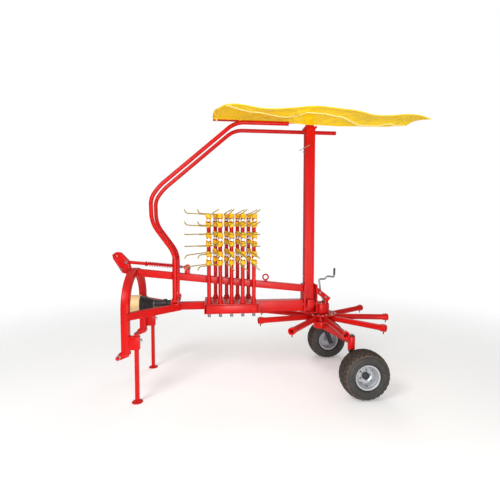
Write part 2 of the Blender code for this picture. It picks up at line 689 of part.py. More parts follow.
# ---------------------------------------------------------------- power input
def build_input(carrier):
    """Splined input shaft in its bearing tube, with the cone and the shaft guard."""
    back = SPINE_FRONT_X - GAP
    along = Matrix.Translation((0, 0, INPUT_Z)) @ Matrix.Rotation(pi / 2, 4, "Y")
    bore = INPUT_RADIUS + RUNNING_GAP
    tube_front = CONE_REAR_X - 0.020
    tube = turned([(BEARING_TUBE_RADIUS, tube_front), (BEARING_TUBE_RADIUS, back), (bore, back),
                   (bore, tube_front)], along, 24)
    finish(tube, "bearing_tube", "black_paint", round_shape=True)
    shaft = rod((INPUT_FRONT_X, 0, INPUT_Z), (back - 0.002, 0, INPUT_Z), INPUT_RADIUS, 24)
    finish(shaft, "input_shaft", "grey_steel", carrier, round_shape=True)
    seat = BEARING_TUBE_RADIUS + GAP
    rim = INPUT_GUARD_RADIUS - INPUT_GUARD_WALL - GAP
    x0, x1, x2 = INPUT_GUARD_X1 - 0.022, INPUT_GUARD_X1 + 0.004, CONE_REAR_X
    cone = turned([(rim, x0), (rim, x1), (seat + 0.005, x2 - 0.012), (seat + 0.005, x2), (seat, x2),
                   (seat, x2 - 0.014), (rim - 0.005, x1 - 0.004), (rim - 0.005, x0)], along, 28)
    finish(cone, "shaft_cone", "black_rubber", round_shape=True)
    outer, inner = INPUT_GUARD_RADIUS, INPUT_GUARD_RADIUS - INPUT_GUARD_WALL
    guard = turned([(outer, INPUT_GUARD_X0), (outer, INPUT_GUARD_X1), (inner, INPUT_GUARD_X1),
                    (inner, INPUT_GUARD_X0)], along, 28)
    finish(guard, "shaft_guard", "beige_plastic", round_shape=True)


# ---------------------------------------------------------------- mast and curtain
def build_mast(carrier):
    """Mast with its hinge ear, and the clamp at its top that carries the curtain bar."""
    half = MAST_TUBE / 2
    clamp = BAR_WIDTH / 2 - 0.001
    foot = BRACKET_BASE_Z + 0.008 + GAP
    ear = box((MAST_X - 0.035, MAST_PIVOT_Y - 0.026, MAST_PIVOT_Z - 0.026),
              (MAST_X + 0.035, -half + 0.002, MAST_PIVOT_Z + 0.046))
    pieces = [
        box((MAST_X - half, -half, foot), (MAST_X + half, half, MAST_TOP_Z)),
        box((MAST_X - 0.064, -0.062, MAST_TOP_Z - 0.001), (MAST_X + 0.064, 0.062, MAST_TOP_Z + 0.010)),
        box((MAST_X - 0.042, -clamp, MAST_TOP_Z), (MAST_X + 0.042, clamp, BAR_BOTTOM_Z - GAP)),
        ear,
    ]
    hole = rod((MAST_X - 0.1, MAST_PIVOT_Y, MAST_PIVOT_Z), (MAST_X + 0.1, MAST_PIVOT_Y, MAST_PIVOT_Z),
               MAST_PIN_RADIUS + RUNNING_GAP, 24)
    finish(combine(pieces, [hole]), "curtain_mast", "red_paint", carrier)
    bar = box((BAR_X0, -BAR_WIDTH / 2, BAR_BOTTOM_Z), (BAR_X1, BAR_WIDTH / 2, BAR_TOP_Z))
    finish(bar, "curtain_bar", "red_paint", carrier)


def curtain_height(x, y):
    """Underside of the curtain: an arc round the mast pivot, with long waves along X."""
    arc = MAST_PIVOT_Z + sqrt(CURTAIN_CLEAR_RADIUS**2 - (y - MAST_PIVOT_Y) ** 2)
    share = min(1.0, -y / CURTAIN_WIDTH)
    wave = 0.5 - 0.5 * cos(2 * pi * (x - CURTAIN_X0 + 0.10) / 0.70)
    return arc + CURTAIN_WAVE * wave * share


def build_curtain(carrier):
    """Folded-up swath curtain as a thin wavy sheet held along the bar."""
    edge = -BAR_WIDTH / 2 - 3 * GAP
    columns, rows = 18, 4
    bpy.ops.mesh.primitive_grid_add(x_subdivisions=columns, y_subdivisions=rows, size=1.0)
    sheet = keep(bpy.context.object)
    for vertex in sheet.data.vertices:
        u, v = vertex.co.x + 0.5, vertex.co.y + 0.5
        taper = 1.0 - CURTAIN_ROUNDING * max(0.0, 1.0 - u / CURTAIN_ROUND_SHARE) ** 2
        y = edge - v * (CURTAIN_WIDTH + edge) * taper
        x = CURTAIN_X0 + u * (CURTAIN_X1 - CURTAIN_X0)
        vertex.co = (x, y, curtain_height(x, y))
    skin = sheet.modifiers.new("thickness", "SOLIDIFY")
    skin.thickness = CURTAIN_THICK
    skin.offset = -1.0
    sheet.data.update()
    solid = bake(sheet)
    work = bmesh.new()
    work.from_mesh(solid.data)
    bmesh.ops.recalc_face_normals(work, faces=work.faces)
    work.to_mesh(solid.data)
    work.free()
    finish(solid, "curtain_sheet", "yellow_sheet", carrier, round_shape=True)


# ---------------------------------------------------------------- guard hoops
def arc_between(points, bend, steps=4):
    """Route through the points with each inner corner rounded by the bend distance."""
    route = [Vector(points[0])]
    for before, corner, after in zip(points, points[1:], points[2:]):
        before, corner, after = Vector(before), Vector(corner), Vector(after)
        back, ahead = before - corner, after - corner
        cut = min(bend, back.length * 0.45, ahead.length * 0.45)
        a, b = corner + back.normalized() * cut, corner + ahead.normalized() * cut
        for i in range(steps + 1):
            t = i / steps
            route.append(a * (1 - t) ** 2 + corner * 2 * t * (1 - t) + b * t**2)
    route.append(Vector(points[-1]))
    return route


def build_guard(name, side, end_x, carrier):
    """Bent tube hoop, folded up, with a trunnion barrel at its foot."""
    y = side * GUARD_Y
    x, z = GUARD_PIVOT_X, GUARD_PIVOT_Z
    corners = [(x, z - 0.004), (x + 0.004, 1.335), (0.212, 1.640), (0.206, 1.880),
               (0.290, 1.998), (1.030, GUARD_TOP_Z), (end_x, GUARD_TOP_Z + 0.001)]
    route = arc_between([(px, y, pz) for px, pz in corners], 0.085, 3)
    hoop = pipe(route, GUARD_RADIUS, 2)
    inside = GUARD_RADIUS + 0.004
    barrel = rod((x - inside + 0.001, y, z), (x + inside - 0.001, y, z), GUARD_BARREL_RADIUS, 16)
    reach = inside + GUARD_EAR + 0.006
    pin = rod((x - reach, y, z), (x + reach, y, z), GUARD_PIN_RADIUS, 24)
    finish(combine([hoop, barrel, pin]), name, "red_paint", carrier, round_shape=True)


# ---------------------------------------------------------------- chassis and wheels
def build_chassis():
    """Centre mount under the rotor and the two beams that slope out to the swivel sleeves."""
    low, high = ROTOR_MOUNT_Z
    mount = rod((ROTOR_X, 0, low), (ROTOR_X, 0, high), ROTOR_MOUNT_RADIUS, 32)
    finish(mount, "rotor_mount", "red_paint", round_shape=True)
    width, height = CHASSIS_TUBE
    for name, side in SIDES.items():
        bar = beam((ROTOR_X, 0, high - 0.036), (SWIVEL_X, side * SWIVEL_Y, 0.508), width, height)
        y = side * SWIVEL_Y
        sleeve = rod((SWIVEL_X, y, SLEEVE_BOTTOM_Z), (SWIVEL_X, y, SLEEVE_TOP_Z), SLEEVE_RADIUS, 24)
        cutters = [
            rod((ROTOR_X, 0, 0.4), (ROTOR_X, 0, 0.7), ROTOR_MOUNT_RADIUS + GAP, 32),
            box((1.7, min(-side * 0.3, 0), 0.3), (2.4, max(-side * 0.3, 0), 0.7)),
            rod((SWIVEL_X, y, 0.3), (SWIVEL_X, y, 0.7), KINGPIN_RADIUS + RUNNING_GAP, 24),
        ]
        finish(combine([bar, sleeve], cutters), f"chassis_beam_{name}", "red_paint", round_shape=True)


def build_caster(side, carrier):
    """Kingpin with its cap, the arm down to the wheel and the wheel's axle."""
    x, y = SWIVEL_X, side * SWIVEL_Y
    flange_top = SLEEVE_BOTTOM_Z - 0.0005
    above = box((x - 0.1, y - 0.1, flange_top), (x + 0.1, y + 0.1, 0.5))
    arm = combine([beam((x - 0.004, y, flange_top - 0.004), (WHEEL_X + 0.010, y, TYRE_RADIUS - 0.012),
                        0.036, 0.050)], [above])
    pieces = [
        arm,
        rod((x, y, flange_top - 0.02), (x, y, SLEEVE_TOP_Z + 0.012), KINGPIN_RADIUS, 24),
        rod((x, y, flange_top - 0.014), (x, y, flange_top), SLEEVE_RADIUS - 0.002, 24),
        rod((x, y, SLEEVE_TOP_Z + 0.0008), (x, y, SLEEVE_TOP_Z + 0.012), 0.028, 24),
        rod((WHEEL_X, y - side * 0.018, TYRE_RADIUS), (WHEEL_X, side * (WHEEL_Y + 0.030), TYRE_RADIUS),
            AXLE_PIN_RADIUS, 24),
    ]
    name = "left" if side == LEFT else "right"
    finish(combine(pieces), f"caster_{name}", "black_paint", carrier, round_shape=True)


def build_wheel(side, carrier):
    """Rim with its hub, and the tyre on it, turned round the axle."""
    name = "left" if side == LEFT else "right"
    outward = Matrix.Rotation(-side * pi / 2, 4, "X")
    place = Matrix.Translation((WHEEL_X, side * WHEEL_Y, TYRE_RADIUS)) @ outward
    half, barrel, lip = RIM_WIDTH / 2, RIM_BARREL_RADIUS, RIM_FLANGE_RADIUS
    bore = AXLE_PIN_RADIUS + RUNNING_GAP
    hub = RIM_HUB_RADIUS
    rim = [
        (bore, 0.034), (hub, 0.034), (hub, 0.012), (barrel - 0.012, 0.002), (barrel - 0.006, half - 0.010),
        (lip - 0.002, half), (lip, half), (lip, half - 0.005), (barrel, half - 0.006),
        (barrel, -half + 0.006), (lip, -half + 0.005), (lip, -half), (lip - 0.002, -half),
        (barrel - 0.006, -half + 0.010), (barrel - 0.006, -0.008),
        (hub, -0.002), (hub, -0.106), (bore, -0.106),
    ]
    finish(turned(rim, place, 18), f"rim_{name}", "silver_rim", carrier, round_shape=True)
    bead = half - 0.0063
    wide = TYRE_WIDTH / 2
    side_wall = [(barrel + GAP, bead), (lip + 0.002, bead), (lip + 0.008, wide - 0.009), (0.150, wide),
                 (0.185, wide), (TYRE_RADIUS - 0.017, wide - 0.008), (TYRE_RADIUS - 0.003, wide - 0.034)]
    tyre = side_wall + [(TYRE_RADIUS, 0.0)] + [(r, -h) for r, h in reversed(side_wall)]
    finish(turned(tyre, place, 24), f"tyre_{name}", "tyre_rubber", carrier, round_shape=True)


def build_stand(name, side, carrier):
    """Leg with its foot, and the socket on the arch leg that it slides in."""
    x, y, half = STAND_X, side * STAND_Y, STAND_TUBE / 2
    leg = combine([
        box((x - half, y - half, STAND_FOOT_THICK / 2), (x + half, y + half, STAND_TOP_Z)),
        rod((x, y, 0), (x, y, STAND_FOOT_THICK), STAND_FOOT_RADIUS, 24),
    ])
    finish(leg, f"stand_leg_{name}", "red_paint", carrier)
    outer = half + STAND_SLIDE_GAP + STAND_SOCKET_WALL
    low, high = STAND_SOCKET_Z
    block = box((ARCH_REAR_X + GAP, y - outer, low), (x + outer, y + outer, high))
    hole = half + STAND_SLIDE_GAP
    slot = box((x - hole, y - hole, low - 0.05), (x + hole, y + hole, high + 0.05))
    finish(combine([block], [slot]), f"stand_socket_{name}", "red_paint")


# ---------------------------------------------------------------- assembly
def build_machine():
    """Build every part on its carrier."""
    build_arch()
    build_top_link()
    build_boom()
    build_spine()
    build_rack()
    build_post()
    build_strut()
    build_lifting_eye()
    build_mast_bracket()
    build_gearbox()
    build_crank()
    build_chassis()
    for place in arm_places():
        build_rake_arm(*place)
    build_rotor(empty("rotor_axis", (ROTOR_X, 0, ROTOR_Z), ROOT))
    build_input(empty("input_axis", (INPUT_FRONT_X, 0, INPUT_Z), ROOT))
    mast_axis = empty("curtain_axis", (MAST_X, MAST_PIVOT_Y, MAST_PIVOT_Z), ROOT)
    build_mast(mast_axis)
    build_curtain(mast_axis)
    ends = {"left": GUARD_END_LEFT, "right": GUARD_END_RIGHT}
    for name, side in SIDES.items():
        build_hitch(f"hitch_{name}", side)
        build_v_beam(f"v_beam_{name}", side)
        pivot = empty(f"guard_axis_{name}", (GUARD_PIVOT_X, side * GUARD_Y, GUARD_PIVOT_Z), ROOT)
        build_guard(f"guard_hoop_{name}", side, ends[name], pivot)
        swivel = empty(f"swivel_axis_{name}", (SWIVEL_X, side * SWIVEL_Y, SLEEVE_TOP_Z), ROOT)
        build_caster(side, swivel)
        hub = empty(f"wheel_axis_{name}", (WHEEL_X, side * WHEEL_Y, TYRE_RADIUS), swivel)
        build_wheel(side, hub)
        build_stand(name, side, empty(f"stand_axis_{name}", (STAND_X, side * STAND_Y, 0), ROOT))


def centre_machine():
    """Move the root so that the origin is at the bottom centre of the bounding box."""
    bpy.context.view_layer.update()
    corners = [
        obj.matrix_world @ Vector(corner)
        for obj in RAKE.objects if obj.type == "MESH" for corner in obj.bound_box
    ]
    low = Vector(min(corner[axis] for corner in corners) for axis in range(3))
    high = Vector(max(corner[axis] for corner in corners) for axis in range(3))
    ROOT.location = (-(low.x + high.x) / 2, -(low.y + high.y) / 2, -low.z)
    bpy.context.view_layer.update()


build_machine()
centre_machine()
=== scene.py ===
import json
import logging
from collections.abc import Callable, Iterable, Mapping, Sequence
from dataclasses import dataclass
from enum import Enum
from functools import cache
from math import atan2, cos, hypot, pi, radians, sin, sqrt

import bmesh
import bpy
from mathutils import Matrix, Vector

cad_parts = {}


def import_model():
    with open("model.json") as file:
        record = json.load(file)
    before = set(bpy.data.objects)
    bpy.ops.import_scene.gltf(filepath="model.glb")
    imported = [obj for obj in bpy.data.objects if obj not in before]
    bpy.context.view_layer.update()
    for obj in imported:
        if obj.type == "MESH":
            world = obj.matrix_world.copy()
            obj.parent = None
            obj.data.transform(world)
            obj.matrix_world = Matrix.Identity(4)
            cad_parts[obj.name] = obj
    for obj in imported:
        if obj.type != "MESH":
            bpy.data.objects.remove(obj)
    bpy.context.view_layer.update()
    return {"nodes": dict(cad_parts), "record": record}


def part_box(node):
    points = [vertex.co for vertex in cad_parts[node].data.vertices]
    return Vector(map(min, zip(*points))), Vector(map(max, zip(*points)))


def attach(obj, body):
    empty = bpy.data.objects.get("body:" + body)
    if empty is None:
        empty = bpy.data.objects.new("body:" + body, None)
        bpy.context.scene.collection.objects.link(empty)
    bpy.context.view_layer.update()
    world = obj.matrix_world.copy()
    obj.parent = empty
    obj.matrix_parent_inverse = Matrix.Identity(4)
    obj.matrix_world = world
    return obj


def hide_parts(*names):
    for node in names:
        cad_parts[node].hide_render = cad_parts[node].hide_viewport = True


Tree, Socket = bpy.types.NodeTree, bpy.types.NodeSocket
Spot = tuple[Vector, Vector, Vector]        # place, aim (a part's Z) and roll (its X)
Curve = Sequence[tuple[float, float]]

LOG = logging.getLogger("rotary_hay_rake")
TAU = 2 * pi
X, Y, Z = Vector((1, 0, 0)), Vector((0, 1, 0)), Vector((0, 0, 1))


class Side(Enum):
    """The two sides of the machine, by the sign of Y."""

    LEFT = -1
    RIGHT = 1

    @property
    def label(self) -> str:
        """Lower-case word used in node, body and piece names."""
        return self.name.lower()


class Frame:
    """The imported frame; main fills it in."""

    shift = Vector((0, 0, 0))     # from the maker's own zero to the model's
    nodes: Mapping[str, bpy.types.Object] = {}
    bodies: Mapping[str, Sequence[str]] = {}


# ------------------------------------------------------------------ node helpers
def linear(code: str) -> tuple[float, float, float, float]:
    """Turn an sRGB hex colour into linear RGBA."""
    parts = [int(code[i:i + 2], 16) / 255 for i in (1, 3, 5)]
    red, green, blue = (p / 12.92 if p <= 0.04045 else ((p + 0.055) / 1.055) ** 2.4 for p in parts)
    return red, green, blue, 1.0


def add_node(
    tree: Tree, kind: str, inputs: Mapping[str | int, object] | None = None, **settings: object
) -> bpy.types.Node:
    """Add a node with its settings, and fill each input or link it to the socket given."""
    node = tree.nodes.new(kind)
    for name, value in settings.items():
        setattr(node, name, value)
    for name, value in (inputs or {}).items():
        if isinstance(value, Socket):
            tree.links.new(value, node.inputs[name])
        else:
            node.inputs[name].default_value = value
    return node


def noise(tree: Tree, place: Socket, scale: float, detail: float, **more: float) -> Socket:
    """Noise at a place."""
    inputs = {"Vector": place, "Scale": scale, "Detail": detail, **more}
    return add_node(tree, "ShaderNodeTexNoise", inputs).outputs["Fac"]


def remap(tree: Tree, value: Socket, given: Sequence[float], wanted: Sequence[float], **how: str) -> Socket:
    """Map a value from the given range to the wanted one."""
    inputs = {"Value": value, "From Min": given[0], "From Max": given[1],
              "To Min": wanted[0], "To Max": wanted[1]}
    return add_node(tree, "ShaderNodeMapRange", inputs, **how).outputs["Result"]


def blend(tree: Tree, share: Socket, under: object, over: object) -> Socket:
    """Mix two colours."""
    return add_node(tree, "ShaderNodeMix", {0: share, 6: under, 7: over}, data_type="RGBA").outputs[2]


def maths(tree: Tree, operation: str, a: Socket, b: Socket | float) -> Socket:
    """One step of arithmetic."""
    return add_node(tree, "ShaderNodeMath", {0: a, 1: b}, operation=operation).outputs[0]


def empty_material(name: str) -> tuple[bpy.types.Material, Tree, Socket]:
    """New node material, its cleared tree and its Object coordinates."""
    material = bpy.data.materials.new(name)
    material.use_nodes = True
    tree = material.node_tree
    tree.nodes.clear()
    return material, tree, add_node(tree, "ShaderNodeTexCoord").outputs["Object"]


# ------------------------------------------------------------------ finishes
@dataclass(frozen=True)
class Finish:
    """A surface: its colour and how far it wanders, its gloss and its fine relief.

    The slot, a material slot in the record, is not used. Patches and grain are in real millimetres.
    """

    name: str
    slot: str
    colour: str
    shade: str
    roughness: float
    metallic: float = 0.0
    coat: float = 0.0
    sheen: float = 0.0
    ior: float = 1.5
    specular: float = 0.5
    patch_mm: float = 220.0
    grain_mm: float = 2.5
    relief_mm: float = 0.05
    wander: float = 0.35
    gloss_wander: float = 0.06

    def height(self, tree: Tree, place: Socket) -> Socket:
        """Fine relief of the surface, 0 to 1; plain finishes have an even grain."""
        return noise(tree, place, 1000 / self.grain_mm, 3.0, Roughness=0.55)

    def tint(self, _tree: Tree, _place: Socket, base: Socket) -> Socket:
        """Last change to the colour; plain finishes have none."""
        return base

    def build(self) -> bpy.types.Material:
        """Make the material."""
        material, tree, place = empty_material(self.name)
        patches = noise(tree, place, 1000 / self.patch_mm, 5.0, Roughness=0.6)
        spread = remap(tree, patches, (0.35, 0.75), (0.0, self.wander))
        base = blend(tree, spread, linear(self.colour), linear(self.shade))
        dullest, shiniest = self.roughness + self.gloss_wander, max(0.04, self.roughness - self.gloss_wander)
        bump = add_node(tree, "ShaderNodeBump", {"Height": self.height(tree, place), "Strength": 1.0,
                                                 "Distance": self.relief_mm / 1000})
        shader = add_node(tree, "ShaderNodeBsdfPrincipled", {
            "Base Color": self.tint(tree, place, base),
            "Roughness": remap(tree, patches, (0.3, 0.7), (shiniest, dullest)),
            "Metallic": self.metallic, "Coat Weight": self.coat, "Coat Roughness": 0.12,
            "Specular IOR Level": self.specular, "Sheen Weight": self.sheen,
            "Normal": bump.outputs["Normal"]})
        if self.metallic < 0.5:
            shader.inputs["IOR"].default_value = self.ior
        add_node(tree, "ShaderNodeOutputMaterial", {"Surface": shader.outputs["BSDF"]})
        return material


@dataclass(frozen=True)
class PowderCoat(Finish):
    """Polyester powder coat on steel: glossy, with a soft orange peel and a trace of dust on top faces."""

    dust: str = "#C9A79A"
    dust_share: float = 0.10

    def tint(self, tree: Tree, place: Socket, base: Socket) -> Socket:
        """Lay a thin dust film where the surface faces up."""
        facing = add_node(tree, "ShaderNodeNewGeometry").outputs["Normal"]
        up = add_node(tree, "ShaderNodeSeparateXYZ", {"Vector": facing}).outputs["Z"]
        film = maths(tree, "MULTIPLY", remap(tree, up, (0.55, 1.0), (0.0, self.dust_share)),
                     noise(tree, place, 1000 / 60, 6.0))
        return blend(tree, film, base, linear(self.dust))


@dataclass(frozen=True)
class CoatedFabric(Finish):
    """PVC-coated polyester: smooth plastic over a plain weave that prints through, with creases."""

    thread_mm: float = 7.0      # real threads stand 1 mm apart; drawn this coarse so that they show
    crease_depth: float = 60.0  # against the threads' own relief

    def height(self, tree: Tree, place: Socket) -> Socket:
        """Crossed threads on the sheet's own flat map, under long soft creases."""
        flat = add_node(tree, "ShaderNodeUVMap", uv_map="flat").outputs["UV"]
        warp, weft = (
            add_node(tree, "ShaderNodeTexWave",
                     {"Vector": flat, "Scale": 1000 / self.thread_mm / 6.2832 * 2, "Distortion": 0.4},
                     wave_type="BANDS", bands_direction=way).outputs["Fac"] for way in ("X", "Y"))
        creases = maths(tree, "MULTIPLY", noise(tree, flat, 3.2, 2.0, Distortion=0.8), self.crease_depth)
        return maths(tree, "ADD", maths(tree, "MULTIPLY", warp, weft), creases)


@dataclass(frozen=True)
class BrushedSteel(Finish):
    """Bare turned or drawn steel: fine lines along Z and a dull grey lustre."""

    def height(self, tree: Tree, place: Socket) -> Socket:
        """Fine drawn lines, long in Z."""
        drawn = add_node(tree, "ShaderNodeMapping", {"Vector": place, "Scale": (1.0, 1.0, 0.06)})
        return noise(tree, drawn.outputs["Vector"], 1000 / self.grain_mm, 2.0)


@dataclass(frozen=True)
class GroundRubber(Finish):
    """Tyre rubber: matt black-brown, scuffed and dusty in the places that meet the ground."""

    soil: str = "#6B5A4B"

    def tint(self, tree: Tree, place: Socket, base: Socket) -> Socket:
        """Rub a little dry soil into the rubber."""
        cloud = noise(tree, place, 1000 / 45, 7.0, Roughness=0.7)
        return blend(tree, remap(tree, cloud, (0.5, 0.8), (0.0, 0.35)), base, linear(self.soil))


FINISHES: Mapping[str, Finish] = {
    # Signal red polyester powder, 80 microns thick: saturated, glossy, faint orange peel.
    "red": PowderCoat("red_powder_coat", "red_paint", "#C90A06", "#9A0503", 0.38, coat=0.03, specular=0.20,
                      grain_mm=7.0, relief_mm=0.03, patch_mm=350, wander=0.45),
    # Truck tarpaulin: PVC-coated polyester, warm yellow, soft sheen, long creases.
    "sheet": CoatedFabric("yellow_tarpaulin", "yellow_sheet", "#FFD800", "#F5BE00", 0.45, specular=0.35,
                          patch_mm=420, relief_mm=0.02, wander=0.5),
    # The welt and hem are the same cloth doubled over and welded, paler where it is stretched.
    "welt": Finish("pale_welded_hem", "yellow_sheet", "#FFF3A0", "#FBE26A", 0.50, sheen=0.2, grain_mm=5,
                   relief_mm=0.1, patch_mm=90),
    # Hay tines: spring steel, stove-enamelled golden yellow on the coils.
    "spring": Finish("golden_enamel", "yellow_paint", "#FFC808", "#E2A20A", 0.38, coat=0.1, grain_mm=2,
                     relief_mm=0.05, patch_mm=60, wander=0.6),
    # The same enamel thin on the long wires, so that it looks olive.
    "wire": Finish("thin_enamel_on_wire", "yellow_paint", "#B39A24", "#7E6E1C", 0.38, coat=0.2, grain_mm=2,
                   relief_mm=0.04, patch_mm=80, wander=0.6),
    # Electroplated zinc on bolts and washers: dull, slightly warm, small spangle.
    "zinc": Finish("zinc_plate", "grey_steel", "#B9B8B2", "#8F8F8B", 0.50, metallic=1.0, grain_mm=1.5,
                   relief_mm=0.01, patch_mm=25),
    # Bright drawn steel, left bare on pins, splines and the crank.
    "steel": BrushedSteel("bare_drawn_steel", "grey_steel", "#8E8F92", "#5F6164", 0.40, metallic=1.0,
                          grain_mm=1.2, relief_mm=0.05, patch_mm=70, wander=0.7),
    # Black chassis paint: satin, slightly thick.
    "black": PowderCoat("black_chassis_paint", "black_paint", "#17181A", "#0D0D0E", 0.42, coat=0.1,
                        relief_mm=0.08, dust="#6E675F", dust_share=0.25),
    # Moulded rubber of the shaft boot: matt, deep black.
    "rubber": Finish("moulded_rubber", "black_rubber", "#1E1E20", "#121213", 0.62, grain_mm=2.0,
                     relief_mm=0.08),
    # Turf tyre compound: charcoal with a brown bloom.
    "tyre": GroundRubber("tyre_rubber", "tyre_rubber", "#2A2928", "#1D1C1B", 0.66, grain_mm=1.8,
                         relief_mm=0.12, patch_mm=120),
    # The grooves between the blocks hold dried brown soil.
    "tread": GroundRubber("soil_in_tread_grooves", "tyre_rubber", "#574639", "#41352C", 0.85, grain_mm=2.2,
                          relief_mm=0.2, patch_mm=60, soil="#705E4C"),
    # Aluminium-coloured wheel enamel on pressed steel.
    "silver": Finish("silver_wheel_enamel", "silver_rim", "#B3B5B9", "#94969B", 0.40, metallic=0.25,
                     coat=0.1, grain_mm=1.5, relief_mm=0.01, patch_mm=160),
    # Injection-moulded polypropylene guard: waxy beige, fine mould texture.
    "beige": Finish("beige_polypropylene", "beige_plastic", "#EDCF96", "#DDBB7C", 0.48, coat=0.05,
                    grain_mm=1.5, relief_mm=0.06, patch_mm=140, wander=0.5),
}


@cache
def coating(name: str) -> bpy.types.Material:
    """Material of a finish, built once."""
    return FINISHES[name].build()


# ------------------------------------------------------------------ outlines and routes
def rounded_square(width: float, depth: float, corner: float, steps: int = 3) -> list[Vector]:
    """Outline of a square tube, anticlockwise."""
    points = []
    for index, (sx, sy) in enumerate(((1, 1), (-1, 1), (-1, -1), (1, -1))):
        cx, cy = sx * (width / 2 - corner), sy * (depth / 2 - corner)
        for step in range(steps + 1):
            angle = (index + step / steps) * pi / 2
            points.append(Vector((cx + corner * cos(angle), cy + corner * sin(angle))))
    return points


def circle(radius: float, sides: int) -> list[Vector]:
    """Outline of a round bar or tube."""
    return [Vector((radius * cos(TAU * i / sides), radius * sin(TAU * i / sides))) for i in range(sides)]


def around(count: int, first: Vector, second: Vector, start: float = 0.0) -> list[Vector]:
    """Unit vectors spread evenly round a circle, from the first direction towards the second."""
    return [first * cos(start + TAU * i / count) + second * sin(start + TAU * i / count)
            for i in range(count)]


def bends(corners: Sequence[Sequence[float]], bend: float, steps: int = 8) -> list[Vector]:
    """Route through corners, each rounded from the distance bend before it."""
    route = [Vector(corners[0])]
    for before, corner, after in zip(corners, corners[1:], corners[2:]):
        before, corner, after = Vector(before), Vector(corner), Vector(after)
        back, ahead = before - corner, after - corner
        cut = min(bend, back.length * 0.45, ahead.length * 0.45)
        a, b = corner + back.normalized() * cut, corner + ahead.normalized() * cut
        for i in range(steps + 1):
            t = i / steps
            route.append(a * (1 - t) ** 2 + corner * 2 * t * (1 - t) + b * t**2)
    return route + [Vector(corners[-1])]


def smooth_through(keys: Curve, x: float) -> float:
    """Value at x of a smooth curve through keys sorted by x."""
    if x <= keys[0][0]:
        return keys[0][1]
    if x >= keys[-1][0]:
        return keys[-1][1]
    index = max(i for i, key in enumerate(keys[:-1]) if key[0] <= x)
    (x0, y0), (x1, y1) = keys[index], keys[index + 1]
    before = keys[index - 1] if index > 0 else (x0 - (x1 - x0), y0)
    after = keys[index + 2] if index + 2 < len(keys) else (x1 + (x1 - x0), y1)
    slope0, slope1 = (y1 - before[1]) / (x1 - before[0]), (after[1] - y0) / (after[0] - x0)
    t, span = (x - x0) / (x1 - x0), x1 - x0
    return ((2 * t**3 - 3 * t**2 + 1) * y0 + (t**3 - 2 * t**2 + t) * span * slope0
            + (-2 * t**3 + 3 * t**2) * y1 + (t**3 - t**2) * span * slope1)


def limited(value: float) -> float:
    """The value, kept between 0 and 1."""
    return min(1.0, max(0.0, value))


def toward(direction: Vector) -> Matrix:
    """Turn that brings Z to a direction."""
    return direction.normalized().to_track_quat("Z", "Y").to_matrix().to_4x4()


# ------------------------------------------------------------------ pieces
def put(name: str, data: bpy.types.ID) -> bpy.types.Object:
    """New object in the scene."""
    thing = bpy.data.objects.new(name, data)
    bpy.context.scene.collection.objects.link(thing)
    return thing


def settle(
    mesh: bpy.types.Mesh, name: str, body: str, nodes: Sequence[str], crease: float = 38.0
) -> bpy.types.Object:
    """Make a finished mesh a piece that rides on a body and stands for CAD nodes.

    Edges sharper than the crease, in degrees, stay sharp.
    """
    mesh.polygons.foreach_set("use_smooth", [True] * len(mesh.polygons))
    mesh.set_sharp_from_angle(angle=radians(crease))
    piece = put(name, mesh)
    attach(piece, body)
    if nodes:
        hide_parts(*nodes)
    LOG.info("%s: %d faces, on %s", name, len(mesh.polygons), body)
    return piece


